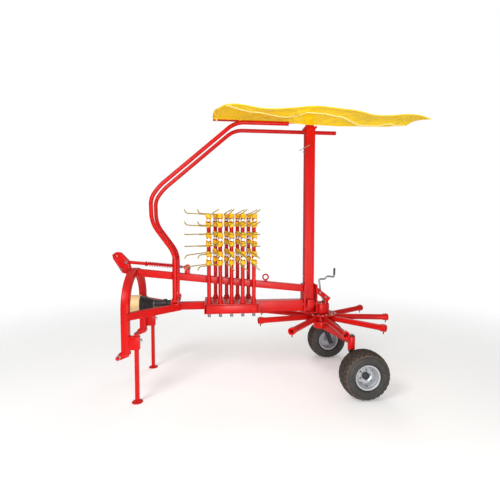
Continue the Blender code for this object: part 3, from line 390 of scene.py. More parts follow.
class Shape:
    """Collects the closed shells of one piece and makes its object.

    The first finish is the piece's first material; shells choose a finish by number, as coat.
    """

    def __init__(self, name: str, *finishes: str) -> None:
        self.name = name
        self.finishes = finishes
        self.work = bmesh.new()

    def ring_shell(self, rings: Sequence[Sequence[Vector]], coat: int = 0, closed: bool = False) -> None:
        """Join rings of points into a shell, capped at both ends unless it closes on itself."""
        made = [[self.work.verts.new(p) for p in ring] for ring in rings]
        count = len(made[0])
        pairs = list(zip(made, made[1:])) + ([(made[-1], made[0])] if closed else [])
        faces = [self.work.faces.new((a[i], a[(i + 1) % count], b[(i + 1) % count], b[i]))
                 for a, b in pairs for i in range(count)]
        if not closed:
            faces += [self.work.faces.new(made[0][::-1]), self.work.faces.new(made[-1])]
        for face in faces:
            face.material_index = coat
        bmesh.ops.recalc_face_normals(self.work, faces=faces)

    def sweep(self, route: Sequence[Sequence[float]], outline: Sequence[Vector], up: Vector,
              coat: int = 0, closed: bool = False) -> None:
        """Sweep an outline, whose first axis stays near up, along a route or a closed loop."""
        points = [Vector(p) for p in route]
        count = len(points)
        rings = []
        for i, point in enumerate(points):
            ahead = points[(i + 1) % count] if closed else points[min(i + 1, count - 1)]
            behind = points[i - 1] if closed or i else points[0]
            along = (ahead - behind).normalized()
            first = (up - along * up.dot(along)).normalized()
            second = along.cross(first)
            stretch, across = 1.0, second
            if closed or 0 < i < count - 1:
                a, b = (point - behind).normalized(), (ahead - point).normalized()
                stretch = 1 / max(0.5, sqrt(max(0.0, (1 + a.dot(b)) / 2)))
                if (a - b).length > 1e-6:
                    across = (a - b).normalized()
            ring = []
            for p in outline:
                offset = first * p.x + second * p.y
                if stretch > 1.0001:
                    offset = offset + across * offset.dot(across) * (stretch - 1)
                ring.append(point + offset)
            rings.append(ring)
        self.ring_shell(rings, coat, closed)

    def rod(self, start: Iterable[float], end: Iterable[float], radius: float, sides: int = 20,
            coat: int = 0, edge: float = 0.0) -> None:
        """Round bar between two points, with its end edges broken by edge."""
        a, b = Vector(start), Vector(end)
        length = (b - a).length
        profile = [(radius, 0.0), (radius, length)]
        if edge:
            profile = [(radius - edge, 0.0), (radius, edge), (radius, length - edge), (radius - edge, length)]
        self.turn(profile, a, b - a, sides, coat, capped=True)

    def turn(self, profile: Curve, foot: Iterable[float], axis: Iterable[float], sides: int = 32,
             coat: int = 0, capped: bool = False) -> None:
        """Turn a profile of radius and distance from the foot round an axis.

        The profile is a loop, unless it is capped: then it is open and discs close its two ends.
        """
        place = Matrix.Translation(Vector(foot)) @ toward(Vector(axis))
        angles = [TAU * i / sides for i in range(sides)]
        rings = [[place @ Vector((r * cos(a), r * sin(a), h)) for r, h in profile] for a in angles]
        self.ring_shell(list(zip(*rings)) if capped else rings, coat, closed=not capped)

    def slab(self, low: Iterable[float], high: Iterable[float], edge: float, coat: int = 0) -> None:
        """Block with rounded edges."""
        low, high = Vector(low), Vector(high)
        size = high - low
        place = Matrix.Translation((low + high) / 2) @ Matrix.Diagonal((*size, 1.0))
        corners = bmesh.ops.create_cube(self.work, size=1.0, matrix=place)["verts"]
        for face in {f for v in corners for f in v.link_faces}:
            face.material_index = coat
        bmesh.ops.bevel(self.work, geom=list({e for v in corners for e in v.link_edges}), segments=2,
                        offset=min(edge, min(size) * 0.45), profile=0.5, affect="EDGES", material=coat)

    def plate(self, points: Sequence[Vector], thick: float, place: Matrix, edge: float, coat: int) -> None:
        """Flat plate with an outline in its own plane and lightly broken edges."""
        centre = sum(points, Vector((0, 0))) / len(points)
        half = thick / 2
        levels = ((edge, -half), (0, -half + edge), (0, half - edge), (edge, half))
        self.ring_shell([[place @ Vector((*(p - (p - centre).normalized() * inset), h)) for p in points]
                         for inset, h in levels], coat)

    def weld(self, size: tuple[float, float, float], centre: Iterable[float], axis: Vector, up: Vector,
             bead: float = 0.0032) -> None:
        """Lay a weld bead round a square tube, of width, depth and corner, where it meets its neighbour."""
        first = (up - axis * up.dot(axis)).normalized()
        second = axis.cross(first)
        loop = [Vector(centre) + first * p.x + second * p.y for p in rounded_square(*size)]
        self.sweep(loop, circle(bead, 6), axis, closed=True)

    def finish(self, body: str, *nodes: str, crease: float = 38.0) -> bpy.types.Object:
        """Make the object, on its body, standing for CAD nodes."""
        bmesh.ops.translate(self.work, verts=self.work.verts, vec=Frame.shift)
        mesh = bpy.data.meshes.new(self.name)
        self.work.to_mesh(mesh)
        self.work.free()
        for name in self.finishes:
            mesh.materials.append(coating(name))
        return settle(mesh, self.name, body, nodes, crease)


def dress(node: str, finish: str, edge: float = 0.0, along: Vector | None = None, corner: float = 0.0,
          crease: float = 30.0) -> None:
    """Copy a CAD part with its edges rounded, as a piece that stands for it.

    A tube has its long edges, those along its direction, rounded by corner; any other part has its
    edges sharper than the crease rounded by edge.
    """
    work = bmesh.new()
    work.from_mesh(Frame.nodes[node].data)
    bmesh.ops.remove_doubles(work, verts=work.verts, dist=2e-5)
    bmesh.ops.dissolve_limit(work, angle_limit=radians(0.6), verts=work.verts, edges=work.edges)
    sharp = [e for e in work.edges if len(e.link_faces) == 2 and e.calc_face_angle(0) > radians(crease)]
    if along is not None:
        way = along.normalized()
        runs = [(e, e.verts[1].co - e.verts[0].co) for e in sharp]
        sharp = [e for e, run in runs if run.length > 0.05 and abs(run.normalized().dot(way)) > 0.985]
    if edge or corner:
        bmesh.ops.bevel(work, geom=sharp, offset=corner or edge, segments=3 if corner else 2, profile=0.5,
                        affect="EDGES", clamp_overlap=True)
    mesh = bpy.data.meshes.new(node + "_finished")
    work.to_mesh(mesh)
    work.free()
    mesh.materials.append(coating(finish))
    body = next(body for body, members in Frame.bodies.items() if node in members)
    settle(mesh, node + "_finished", body, (node,), crease)


# ------------------------------------------------------------------ repeated parts by geometry nodes
Sizes = Mapping[str, Socket]


def fastener(tree: Tree, size: Sizes) -> Socket:
    """Hexagon bolt head on a washer, standing up in Z."""
    washer, head = (
        add_node(tree, "GeometryNodeMeshCylinder",
                 {"Vertices": sides, "Radius": size[part + "_radius"], "Depth": size[part + "_height"]})
        for part, sides in (("Washer", 18), ("Head", 6)))
    lift = add_node(tree, "ShaderNodeCombineXYZ", {"Z": maths(tree, "MULTIPLY", size["Head_height"], 0.5)})
    raised = add_node(tree, "GeometryNodeTransform",
                      {"Geometry": head.outputs["Mesh"], "Translation": lift.outputs["Vector"]})
    both = add_node(tree, "GeometryNodeJoinGeometry")
    tree.links.new(washer.outputs["Mesh"], both.inputs[0])
    tree.links.new(raised.outputs["Geometry"], both.inputs[0])
    return both.outputs["Geometry"]


def coil(tree: Tree, size: Sizes) -> Socket:
    """Wound spring that starts at the point and rises in Z."""
    line = add_node(tree, "GeometryNodeCurveSpiral",
                    {"Resolution": 18, "Rotations": size["Turns"], "Start Radius": size["Coil_radius"],
                     "End Radius": size["Coil_radius"], "Height": size["Length"]})
    wire = add_node(tree, "GeometryNodeCurvePrimitiveCircle",
                    {"Resolution": 7, "Radius": size["Wire_radius"]})
    tube = add_node(tree, "GeometryNodeCurveToMesh",
                    {"Curve": line.outputs["Curve"], "Profile Curve": wire.outputs["Curve"],
                     "Fill Caps": True})
    return tube.outputs["Mesh"]


def tread_block(tree: Tree, size: Sizes) -> Socket:
    """Tread block: a cube, long in X, its top at the point."""
    extent = add_node(tree, "ShaderNodeCombineXYZ",
                      {"X": size["Length"], "Y": size["Width"], "Z": size["Height"]})
    cube = add_node(tree, "GeometryNodeMeshCube", {"Size": extent.outputs["Vector"]})
    drop = add_node(tree, "ShaderNodeCombineXYZ", {"Z": maths(tree, "MULTIPLY", size["Height"], -0.5)})
    moved = add_node(tree, "GeometryNodeTransform",
                     {"Geometry": cube.outputs["Mesh"], "Translation": drop.outputs["Vector"]})
    return moved.outputs["Geometry"]


def repeating_tree(
    part: Callable[[Tree, Sizes], Socket], material: bpy.types.Material, sizes: Mapping[str, float]
) -> Tree:
    """Geometry node tree that sets a part on every point of a mesh, turned to the point's aim."""
    tree = bpy.data.node_groups.new(part.__name__ + "s", "GeometryNodeTree")
    tree.interface.new_socket("Geometry", in_out="INPUT", socket_type="NodeSocketGeometry")
    for size, value in sizes.items():
        socket = tree.interface.new_socket(size, in_out="INPUT", socket_type="NodeSocketFloat")
        socket.default_value = value
    tree.interface.new_socket("Geometry", in_out="OUTPUT", socket_type="NodeSocketGeometry")
    given = add_node(tree, "NodeGroupInput")
    shape = part(tree, {size: given.outputs[size] for size in sizes})
    aim, roll = (
        add_node(tree, "GeometryNodeInputNamedAttribute", {"Name": name},
                 data_type="FLOAT_VECTOR").outputs["Attribute"] for name in ("aim", "roll"))
    turned = add_node(tree, "FunctionNodeAlignRotationToVector", {"Vector": aim}, axis="Z")
    rolled = add_node(tree, "FunctionNodeAlignRotationToVector",
                      {"Rotation": turned.outputs["Rotation"], "Vector": roll}, axis="X", pivot_axis="Z")
    spread = add_node(tree, "GeometryNodeInstanceOnPoints",
                      {"Points": given.outputs["Geometry"], "Instance": shape,
                       "Rotation": rolled.outputs["Rotation"]})
    real = add_node(tree, "GeometryNodeRealizeInstances", {"Geometry": spread.outputs["Instances"]})
    coated = add_node(tree, "GeometryNodeSetMaterial",
                      {"Geometry": real.outputs["Geometry"], "Material": material})
    add_node(tree, "NodeGroupOutput", {"Geometry": coated.outputs["Geometry"]})
    return tree


def repeat(
    part: Callable[[Tree, Sizes], Socket], name: str, points: Sequence[Spot], finish: str, body: str,
    crease: float = 38.0, **sizes: float,
) -> bpy.types.Object:
    """Set a part on points and bake the result to one plain mesh."""
    mesh = bpy.data.meshes.new(name + "_points")
    mesh.from_pydata([p + Frame.shift for p, _, _ in points], [], [])
    for label, column in (("aim", 1), ("roll", 2)):
        values = mesh.attributes.new(label, "FLOAT_VECTOR", "POINT")
        for i, point in enumerate(points):
            values.data[i].vector = point[column]
    carrier = put(name + "_points", mesh)
    carrier.modifiers.new("repeat", "NODES").node_group = repeating_tree(part, coating(finish), sizes)
    graph = bpy.context.evaluated_depsgraph_get()
    baked = bpy.data.meshes.new_from_object(carrier.evaluated_get(graph), depsgraph=graph)
    baked.name = name
    bpy.data.objects.remove(carrier)
    if not baked.materials:
        baked.materials.append(coating(finish))
    return settle(baked, name, body, (), crease)


def bolts(name: str, points: Sequence[Spot], finish: str, body: str, head: Sequence[float],
          washer: Sequence[float]) -> None:
    """Set bolts on points; the head and the washer each have a radius and a height."""
    repeat(fastener, name, points, finish, body, Head_radius=head[0], Head_height=head[1],
           Washer_radius=washer[0], Washer_height=washer[1])


# ------------------------------------------------------------------ headstock
ARCH_X, ARCH_HALF, ARCH_TUBE = 0.012, 0.390, 0.072
ARCH_FOOT, ARCH_SPRING, ARCH_TOP = 0.450, 0.830, 1.190
SHAFT_Z = 0.820
STAND_X, STAND_Y, STAND_HALF, STAND_PIN_Z = 0.112, 0.412, 0.018, 0.575


def build_arch() -> None:
    """Bent square tube with weld beads at its feet and where the beams meet it."""
    shape = Shape("arch_tube", "red")
    tall = ARCH_TOP - ARCH_SPRING - ARCH_TUBE / 2
    curve = [(ARCH_X, ARCH_HALF * cos(pi * i / 40), ARCH_SPRING + tall * sin(pi * i / 40))
             for i in range(41)]
    route = [(ARCH_X, ARCH_HALF, ARCH_FOOT), *curve, (ARCH_X, -ARCH_HALF, ARCH_FOOT)]
    shape.sweep(route, rounded_square(ARCH_TUBE, ARCH_TUBE, 0.008), X)
    rear = ARCH_X + ARCH_TUBE / 2
    for side in Side:
        shape.weld((ARCH_TUBE, ARCH_TUBE, 0.008), (ARCH_X, side.value * ARCH_HALF, ARCH_FOOT), Z, X)
        shape.weld((0.068, 0.094, 0.008), (rear, side.value * (ARCH_HALF + 0.030), 0.785), X, Z)
    shape.weld((0.074, 0.074, 0.008), (rear, 0, 1.143), X, Z)
    shape.finish("frame", "headstock_arch")


def build_hitch() -> None:
    """Dress the lower hitch and top link plates, with linch pins, rings and bolts."""
    for node in ("hitch_left", "hitch_right", "top_link_bracket"):
        dress(node, "red", edge=0.0012)
    shape = Shape("hitch_pins", "zinc", "steel")
    for side in Side:
        out = side.value * 0.452
        shape.rod((-0.045, out, 0.404), (-0.045, out, 0.444), 0.0042, 12)
        middle = Vector((-0.045, out + side.value * 0.006, 0.424))
        shape.sweep([middle + v * 0.019 for v in around(20, Z, X)], circle(0.0016, 6), Y, closed=True)
        shape.rod((-0.045, side.value * 0.430, 0.425), (-0.045, side.value * 0.4318, 0.425), 0.0205, 20)
    shape.rod((-0.108, -0.0385, 1.178), (-0.108, 0.0385, 1.178), 0.0108, 18, 1, 0.0015)
    shape.finish("frame")
    heads = [(Vector((x, side.value * y, z)), Y * side.value, Z)
             for side in Side for x, y, z in ((-0.061, 0.0415, 1.250), (-0.108, 0.0385, 1.178))]
    bolts("top_link_bolts", heads, "steel", "frame", (0.0100, 0.008), (0.0130, 0.003))


def build_inlet() -> None:
    """Shaft guard with its ribs, rubber boot, bearing tube and splined shaft."""
    z, foot = SHAFT_Z, (0.0, 0.0, SHAFT_Z)
    outer, wall = 0.0925, 0.0055
    guard = Shape("shaft_guard_shell", "beige")
    guard.turn([(outer - 0.001, -0.050), (outer, -0.046), (outer, -0.030), (outer - 0.002, -0.028),
                (outer - 0.002, 0.046), (outer, 0.050), (outer, 0.066), (outer - 0.001, 0.069),
                (outer - wall, 0.069), (outer - wall, -0.050)], foot, X, 56)
    guard.finish("frame", "shaft_guard")
    boot = Shape("shaft_boot", "rubber")
    rings = [(0.0865, 0.048), (0.0865, 0.070)]
    for i in range(6):
        x = 0.076 + i * 0.0205
        r = 0.0865 + (0.0415 - 0.0865) * (x - 0.070) / 0.128
        rings += [(r - 0.0016, x), (r + 0.0012, x + 0.006), (r - 0.0013, x + 0.012)]
    rings += [(0.0412, 0.199), (0.0412, 0.210), (0.0365, 0.210), (0.0365, 0.197), (0.082, 0.066),
              (0.082, 0.048)]
    boot.turn(rings, foot, X, 48)
    boot.finish("frame", "shaft_cone")
    clip = Shape("boot_clip", "steel")
    clip.turn([(0.0425, 0.2015), (0.0425, 0.2075), (0.0412, 0.2075), (0.0412, 0.2015)], foot, X, 40)
    clip.slab((0.2010, -0.0055, z + 0.0420), (0.2080, 0.0055, z + 0.0480), 0.0008)
    clip.finish("frame")
    bearing = Shape("bearing_housing", "black")
    bearing.turn([(0.036, 0.190), (0.036, 0.296), (0.047, 0.300), (0.047, 0.330), (0.036, 0.334),
                  (0.036, 0.3697), (0.0181, 0.3697), (0.0181, 0.190)], foot, X, 40)
    bearing.finish("frame", "bearing_tube")
    heads = [(Vector((0.300, 0, z)) + out * 0.042, -X, out) for out in around(6, Y, Z, pi / 6)]
    bolts("bearing_bolts", heads, "zinc", "frame", (0.0045, 0.004), (0.0048, 0.001))
    shaft = Shape("splined_shaft", "steel")
    rings = []
    for x, depth in ((-0.040, 0.0025), (-0.0385, 0.0012), (0.030, 0.0012), (0.034, 0.0), (0.3677, 0.0)):
        grooves = [0.0026 if (i // 4) % 2 and x < 0.033 else 0.0 for i in range(48)]
        rings.append([Vector((x, 0, z)) + out * (0.0175 - depth * 0.5 - groove)
                      for out, groove in zip(around(48, Y, Z), grooves)])
    shaft.ring_shell(rings)
    shaft.finish("input", "input_shaft", crease=50)


def build_stands() -> None:
    """Square legs with pressed feet and pin holes, the holes painted as black discs of shade, in sockets with
    spring pins.
    """
    x, half, pin_z = STAND_X, STAND_HALF, STAND_PIN_Z
    for side in Side:
        name, y = side.label, side.value * STAND_Y
        dress(f"stand_socket_{name}", "red", edge=0.0012)
        leg = Shape(f"stand_{name}_leg", "red", "black")
        leg.sweep([(x, y, 0.007), (x, y, 0.637)], rounded_square(0.036, 0.036, 0.004), X)
        leg.turn([(0.050, 0.0), (0.050, 0.004), (0.046, 0.008), (0.024, 0.008)], (x, y, 0.0), Z, 40,
                 capped=True)
        # Each pin hole is a black disc set flush in the leg's face: painted shade for the dark inside of a
        # hole, with no real opening.
        for z in (0.10 + 0.055 * i for i in range(7)):
            for face in (-1, 1):
                leg.rod((x + face * (half - 0.001), y, z), (x + face * (half + 0.0002), y, z), 0.0062, 16, 1)
        rim = half + 0.0004
        leg.slab((x - rim, y - rim, 0.6372), (x + rim, y + rim, 0.6402), 0.001, 1)
        leg.weld((0.037, 0.037, 0.004), (x, y, 0.0085), Z, X, 0.0022)
        leg.finish(f"stand_{name}", f"stand_leg_{name}")
        pin = Shape(f"stand_pin_{name}", "zinc", "black")
        outer = x + half + 0.0105
        pin.rod((outer, y, pin_z), (outer + 0.017, y, pin_z), 0.0070, 16, 0, 0.001)
        pin.rod((outer + 0.017, y, pin_z), (outer + 0.020, y, pin_z), 0.0120, 20, 1, 0.001)
        middle = Vector((outer + 0.0185, y, pin_z - 0.014))
        pin.sweep([middle + v * 0.014 for v in around(18, Z, Y)], circle(0.0016, 6), X, closed=True)
        pin.finish("frame")


# ------------------------------------------------------------------ main frame
BOOM_FRONT, BOOM_REAR = Vector((0.048, 0, 1.143)), Vector((1.742, 0, 0.958))
STRUT_FRONT, STRUT_REAR = Vector((-0.061, 0, 1.250)), Vector((0.515, 0, 1.192))


def on_line(start: Vector, end: Vector, x: float) -> Vector:
    """Point at x on the line through two points."""
    return Vector((x, 0.0, start.z + (end.z - start.z) * (x - start.x) / (end.x - start.x)))


def build_tubes() -> None:
    """Square tubes with their rolled corners."""
    dress("main_boom", "red", along=BOOM_REAR - BOOM_FRONT, corner=0.006)
    dress("lower_spine", "red", along=X, corner=0.006)
    for side in Side:
        dress(f"v_beam_{side.label}", "red", along=Vector((0.522, side.value * -0.463, 0)), corner=0.006)
        dress(f"chassis_beam_{side.label}", "red", edge=0.0015, crease=35)
    for node in ("guard_post", "arm_rack", "mast_bracket", "rotor_mount"):
        dress(node, "red", edge=0.0010, crease=35)
    dress("lifting_eye", "red", crease=40)
    welds = Shape("frame_welds", "red")
    welds.weld((0.118, 0.106, 0.006), (1.7405, 0, 0.778), X, Z)
    welds.weld((0.075, 0.075, 0.006), (1.7405, 0, 0.958), X, Z)
    welds.weld((0.077, 0.077, 0.006), (1.2695, 0, 0.7945), X, Z)
    for x in (0.390, 0.458):
        for y in (-0.0447, 0.0447):
            middle = on_line(BOOM_FRONT, BOOM_REAR, x) + Y * y
            welds.sweep([middle - Z * 0.030, middle + Z * 0.030], circle(0.0025, 6), X)
    welds.finish("frame")


def build_strut() -> None:
    """Threaded rod with its eye, collars and nuts, and the wound spring round it."""
    shape = Shape("strut_finished", "red", "zinc")
    eye = STRUT_FRONT
    shape.rod(eye - Y * 0.0255, eye + Y * 0.0255, 0.020, 28, 0, 0.002)
    for start, end, radius, sides, coat, edge in (
        (-0.045, STRUT_REAR.x - 0.0003, 0.011, 20, 0, 0.001), (-0.038, 0.1225, 0.0165, 28, 0, 0.0015),
        (0.122, 0.1355, 0.0255, 28, 0, 0.0015), (0.4590, 0.4620, 0.019, 24, 1, 0.0006),
        (0.4620, 0.4735, 0.0165, 6, 1, 0.0012), (0.4740, 0.4825, 0.0165, 6, 1, 0.0012),
        *((0.4850 + 0.0035 * i, 0.4870 + 0.0035 * i, 0.0118, 16, 1, 0.0006) for i in range(7)),
    ):
        shape.rod(on_line(eye, STRUT_REAR, start), on_line(eye, STRUT_REAR, end), radius, sides, coat, edge)
    shape.finish("frame", "strut_rod")
    first, last = on_line(eye, STRUT_REAR, 0.1395), on_line(eye, STRUT_REAR, 0.3872)
    spring = repeat(coil, "strut_spring_coil", [(first, (last - first).normalized(), Y)], "red", "frame", 60,
                    Turns=15.0, Coil_radius=0.0200, Wire_radius=0.0042, Length=(last - first).length)
    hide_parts("strut_spring")


def build_rack_detail() -> None:
    """Socket bosses on the rack's upper plate and clamp bolts on its cheeks."""
    shape = Shape("rack_sockets", "red")
    for berth in berths():
        shape.turn([(0.0206, 0.8408), (0.0206, 0.8720), (0.0225, 0.8720), (0.0270, 0.8660),
                    (0.0290, 0.8408)], (berth.x, berth.y, 0.0), Z, 28)
    for side in Side:
        y = side.value * 0.2062
        shape.slab((0.735, y - 0.0012, 0.756), (1.242, y + 0.0012, 0.829), 0.0008)
    shape.finish("frame")
    heads = [(Vector((x, side.value * 0.2078, 0.790)), Y * side.value, Z)
             for x in (0.765, 0.930, 1.050, 1.212) for side in Side]
    bolts("rack_bolts", heads, "red", "frame", (0.0075, 0.006), (0.0100, 0.002))


def build_fixings() -> None:
    """Hinge pins, clips and bolts on the post, the lug and the mast bracket."""
    shape = Shape("frame_clips", "zinc", "black", "red")
    for side in Side:
        for x in (0.428 - 0.0352, 0.428 + 0.0352):
            middle = Vector((x, side.value * HOOP_Y, 0.870))
            shape.rod(middle - X * 0.0014, middle + X * 0.0014, 0.0125, 20, 0, 0.0004)
    lug = Matrix.Translation((0.540, 0, 1.186)) @ toward(-Y)
    shape.plate(circle(0.034, 28), 0.0245, lug, 0.0015, 2)
    shape.slab((0.512, -0.0122, 1.098), (0.568, 0.0122, 1.186), 0.002, 2)
    shape.rod((0.548, -0.0122, 1.186), (0.548, -0.0230, 1.186), 0.0150, 6, 1, 0.001)
    loop = bends([(0.530, -0.0128, 1.196), (0.530, -0.030, 1.200), (0.548, -0.034, 1.180),
                  (0.556, -0.020, 1.186), (0.552, -0.0135, 1.200)], 0.008)
    chain = bends([(0.458, -0.048, 0.905), (0.476, -0.062, 0.893), (0.474, -0.066, 0.866),
                   (0.466, -0.060, 0.850)], 0.01)
    for line in (loop, chain):
        shape.sweep(line, circle(0.0022, 8), Z)
    shape.finish("frame")
    heads = [(Vector((x, side.value * 0.0445, 0.935)), Y * side.value, Z)
             for side in Side for x in (0.412, 0.436)]
    heads += [(Vector((x, -0.080, 0.800)), aim, Z) for x, aim in ((1.742, -X), (1.882, X))]
    heads += [(Vector((x, side.value * 0.0495, z)), Y * side.value, Z)
              for side in Side for x, z in ((1.930, 0.912), (1.990, 0.865))]
    bolts("frame_bolts", heads, "steel", "frame", (0.0085, 0.007), (0.0115, 0.003))


# ------------------------------------------------------------------ stowed rake arms
TINE_HEIGHTS = (1.666, 1.477, 1.294)
TINE_FLARE = (0.026, 0.004, -0.022)     # how far each tine's tips bend up
COIL_INNER, COIL_RADIUS, COIL_OUT, WIRE_RADIUS = 0.0225, 0.0240, 0.040, 0.0050
FAR_LIFT = 0.014
SWEPT_COUNT = 2


class TineRun(Enum):
    """From a coil to the bend of its wire's tip, and on to the wire's end."""

    SWEPT = (Vector((-0.190, -0.300, 0.0)), Vector((-0.010, -0.080, 0.0)))
    TURNED = (Vector((-0.030, -0.355, 0.0)), Vector((0.030, -0.075, 0.0)))
    FAR = (Vector((-0.020, -0.440, 0.0)), Vector((0.050, -0.060, 0.0)))


@dataclass(frozen=True)
class Berth:
    """Where one rake arm stands in the rack."""

    node: str
    x: float
    y: float
    lift: float
    run: TineRun

    @property
    def heights(self) -> list[float]:
        """Heights of the three tines."""
        return [height + self.lift for height in TINE_HEIGHTS]


def berths() -> list[Berth]:
    """Every arm's berth, the near row first."""
    near = [(0.763 + 0.112 * i, -0.150, 0.0, TineRun.SWEPT if i < SWEPT_COUNT else TineRun.TURNED)
            for i in range(5)]
    far = [(0.828 + 0.119 * i, 0.150, FAR_LIFT, TineRun.FAR) for i in range(4)]
    return [Berth(f"rake_arm_{number}", *spot) for number, spot in enumerate(near + far, 1)]


def build_arm(berth: Berth) -> None:
    """Red tube with a rounded cap, its bare steel pin and its tine brackets."""
    x, y, foot, top = berth.x, berth.y, (berth.x, berth.y, 0.0), 1.7355 + berth.lift
    shape = Shape(berth.node + "_tube", "red", "steel")
    shape.turn([(0.0165, 0.7533), (0.0198, 0.7533), (0.0198, top - 0.004), (0.0165, top - 0.001),
                (0.006, top)], foot, Z, 24, 0, capped=True)
    shape.turn([(0.0105, 0.703), (0.0155, 0.707), (0.0155, 0.760)], foot, Z, 24, 1, capped=True)
    shape.turn([(0.0150, 0.7165), (0.0172, 0.7165), (0.0172, 0.7185), (0.0150, 0.7185)], foot, Z, 24, 1)
    for z in berth.heights:
        shape.slab((x - 0.013, y - 0.0300, z - 0.016), (x + 0.013, y - 0.012, z + 0.016), 0.002)
    shape.finish("frame", berth.node)


def build_wires(berth: Berth) -> None:
    """Long wires of the three tines and the loops between their coils."""
    shape = Shape(berth.node + "_tines", "wire", "spring")
    x, y, turn = berth.x, berth.y - COIL_OUT, COIL_RADIUS
    reach, tip = berth.run.value
    way = reach.normalized()
    across = Vector((way.y, -way.x, 0))
    for height, rise in zip(berth.heights, TINE_FLARE):
        for end in (-1, 1):
            base = Vector((x, y, height + end * 0.0570)) + across * turn
            knee = Vector((x, y, height + end * 0.052)) + reach
            route = bends([base - way * 0.004, base + way * 0.05, knee, knee + tip + Z * rise], 0.030, 6)
            shape.sweep(route, circle(WIRE_RADIUS, 8), Z)
        low, high = height - COIL_INNER, height + COIL_INNER
        loop = bends([(x - turn * 0.9, y, low), (x - turn, y - 0.006, height - 0.012),
                      (x - 0.012, y - 0.010, height), (x + 0.012, y - 0.010, height),
                      (x + turn, y - 0.006, height + 0.012), (x + turn * 0.9, y, high)], 0.012, 5)
        shape.sweep(loop, circle(WIRE_RADIUS, 8), Y, 1)
    shape.finish("frame", crease=50)


def build_stowed_arms() -> None:
    """Build tubes and wires, then all coils and all bolts at once."""
    coils, heads = [], []
    for berth in berths():
        build_arm(berth)
        build_wires(berth)
        for height in berth.heights:
            middle = Vector((berth.x, berth.y - COIL_OUT, height))
            coils += [(middle + Z * COIL_INNER * way, Z * way, X) for way in (1, -1)]
            heads.append((middle - Y * 0.0165, -Y, Z))
    repeat(coil, "tine_coils", coils, "spring", "frame", 60, Turns=4.75, Coil_radius=COIL_RADIUS,
           Wire_radius=WIRE_RADIUS, Length=0.0440)
    bolts("tine_bolts", heads, "zinc", "frame", (0.0095, 0.009), (0.0150, 0.0035))


# ------------------------------------------------------------------ rotor
ROTOR = Vector((1.953, 0, 0.649))
FIRST_STUB = radians(-9.3)
STUB_COUNT = 9
STUB_TIP = 0.705
COVER_X = ROTOR.x - 0.012


def build_stubs() -> None:
    """Round stub arms with flared sockets, painted shade at the foot of each bore, and latch pins."""
    latches = Shape("stub_latches", "black", "zinc")
    radius, bore, tip = 0.0285, 0.0215, STUB_TIP
    for number, out in enumerate(around(STUB_COUNT, X, Y, FIRST_STUB), 1):
        shape = Shape(f"stub_{number}_tube", "red", "black")
        shape.turn([(radius, 0.097), (radius, tip - 0.062), (0.0338, tip - 0.046), (0.0345, tip - 0.040),
                    (0.0345, tip - 0.0015), (0.0330, tip), (bore + 0.0015, tip), (bore, tip - 0.002),
                    (bore, tip - 0.050), (0.001, tip - 0.050), (0.001, 0.097)], ROTOR, out, 28)
        # Black disc over the foot of the socket's bore: painted shade in the recess.
        shape.turn([(0.0200, tip - 0.0490), (0.0200, tip - 0.0485), (0.001, tip - 0.0485),
                    (0.001, tip - 0.0490)], ROTOR, out, 20, 1)
        shape.finish("rotor", f"stub_arm_{number}")
        spot = ROTOR + out * (tip - 0.022)
        latches.rod(spot - Z * 0.058, spot - Z * 0.031, 0.0052, 12, 0, 0.001)
        latches.rod(spot + Z * 0.0335, spot + Z * 0.0385, 0.0090, 16, 1, 0.0008)
    latches.finish("rotor")


def build_head() -> None:
    """Rotor discs and gearbox with their bolts."""
    dress("rotor_head", "red", edge=0.0012, crease=40)
    dress("gearbox", "red", edge=0.0015, crease=40)
    heads = [(ROTOR + Z * 0.0373 + out * (0.152 if i % 2 else 0.122), Z, out)
             for i, out in enumerate(around(18, X, Y, FIRST_STUB + radians(10)))]
    bolts("rotor_bolts", heads, "zinc", "rotor", (0.0085, 0.007), (0.0115, 0.0022))
    cover = Shape("gearbox_cover", "red")
    cover.turn([(0.078, 0.7903), (0.078, 0.796), (0.074, 0.7985), (0.030, 0.7985), (0.026, 0.806),
                (0.008, 0.808)], (COVER_X, 0, 0.0), Z, 40, 0, capped=True)
    for y in (-0.036, 0.036):
        cover.slab((1.983, y - 0.004, 0.7895), (2.022, y + 0.004, 0.8480), 0.001)
    for z in (0.712, 0.727, 0.742, 0.757, 0.772):
        cover.turn([(0.0845, z), (0.0885, z + 0.0015), (0.0885, z + 0.0045), (0.0845, z + 0.006)],
                   (ROTOR.x, 0, 0), Z, 40)
    cover.finish("frame")
    heads = [(Vector((COVER_X, 0, 0.7985)) + out * 0.064, Z, out) for out in around(8, X, Y)]
    bolts("gearbox_bolts", heads, "zinc", "frame", (0.0065, 0.005), (0.0085, 0.0018))


def build_crank() -> None:
    """Threaded spindle and bent crank handle with its grip."""
    shape = Shape("height_crank_bent", "steel", "black")
    corners = [(1.999, 0, 0.7905), (1.992, 0, 0.806), (1.954, 0, 0.877), (1.930, 0, 1.050),
               (1.996, 0, 1.049), (2.018, 0, 1.081), (2.096, 0, 1.069), (2.100, 0, 1.1665)]
    shape.sweep(bends(corners, 0.018, 6), circle(0.0088, 14), Y)
    shape.rod((1.995, 0, 0.7905), (1.995, 0, 0.808), 0.016, 24, 0, 0.002)
    shape.turn([(0.0090, 0.0), (0.0102, 0.003), (0.0106, 0.030), (0.0102, 0.068), (0.0090, 0.071)],
               (2.0972, 0, 1.093), (0.003, 0, 0.0975), 20, 1, capped=True)
    shape.finish("frame", "height_crank")


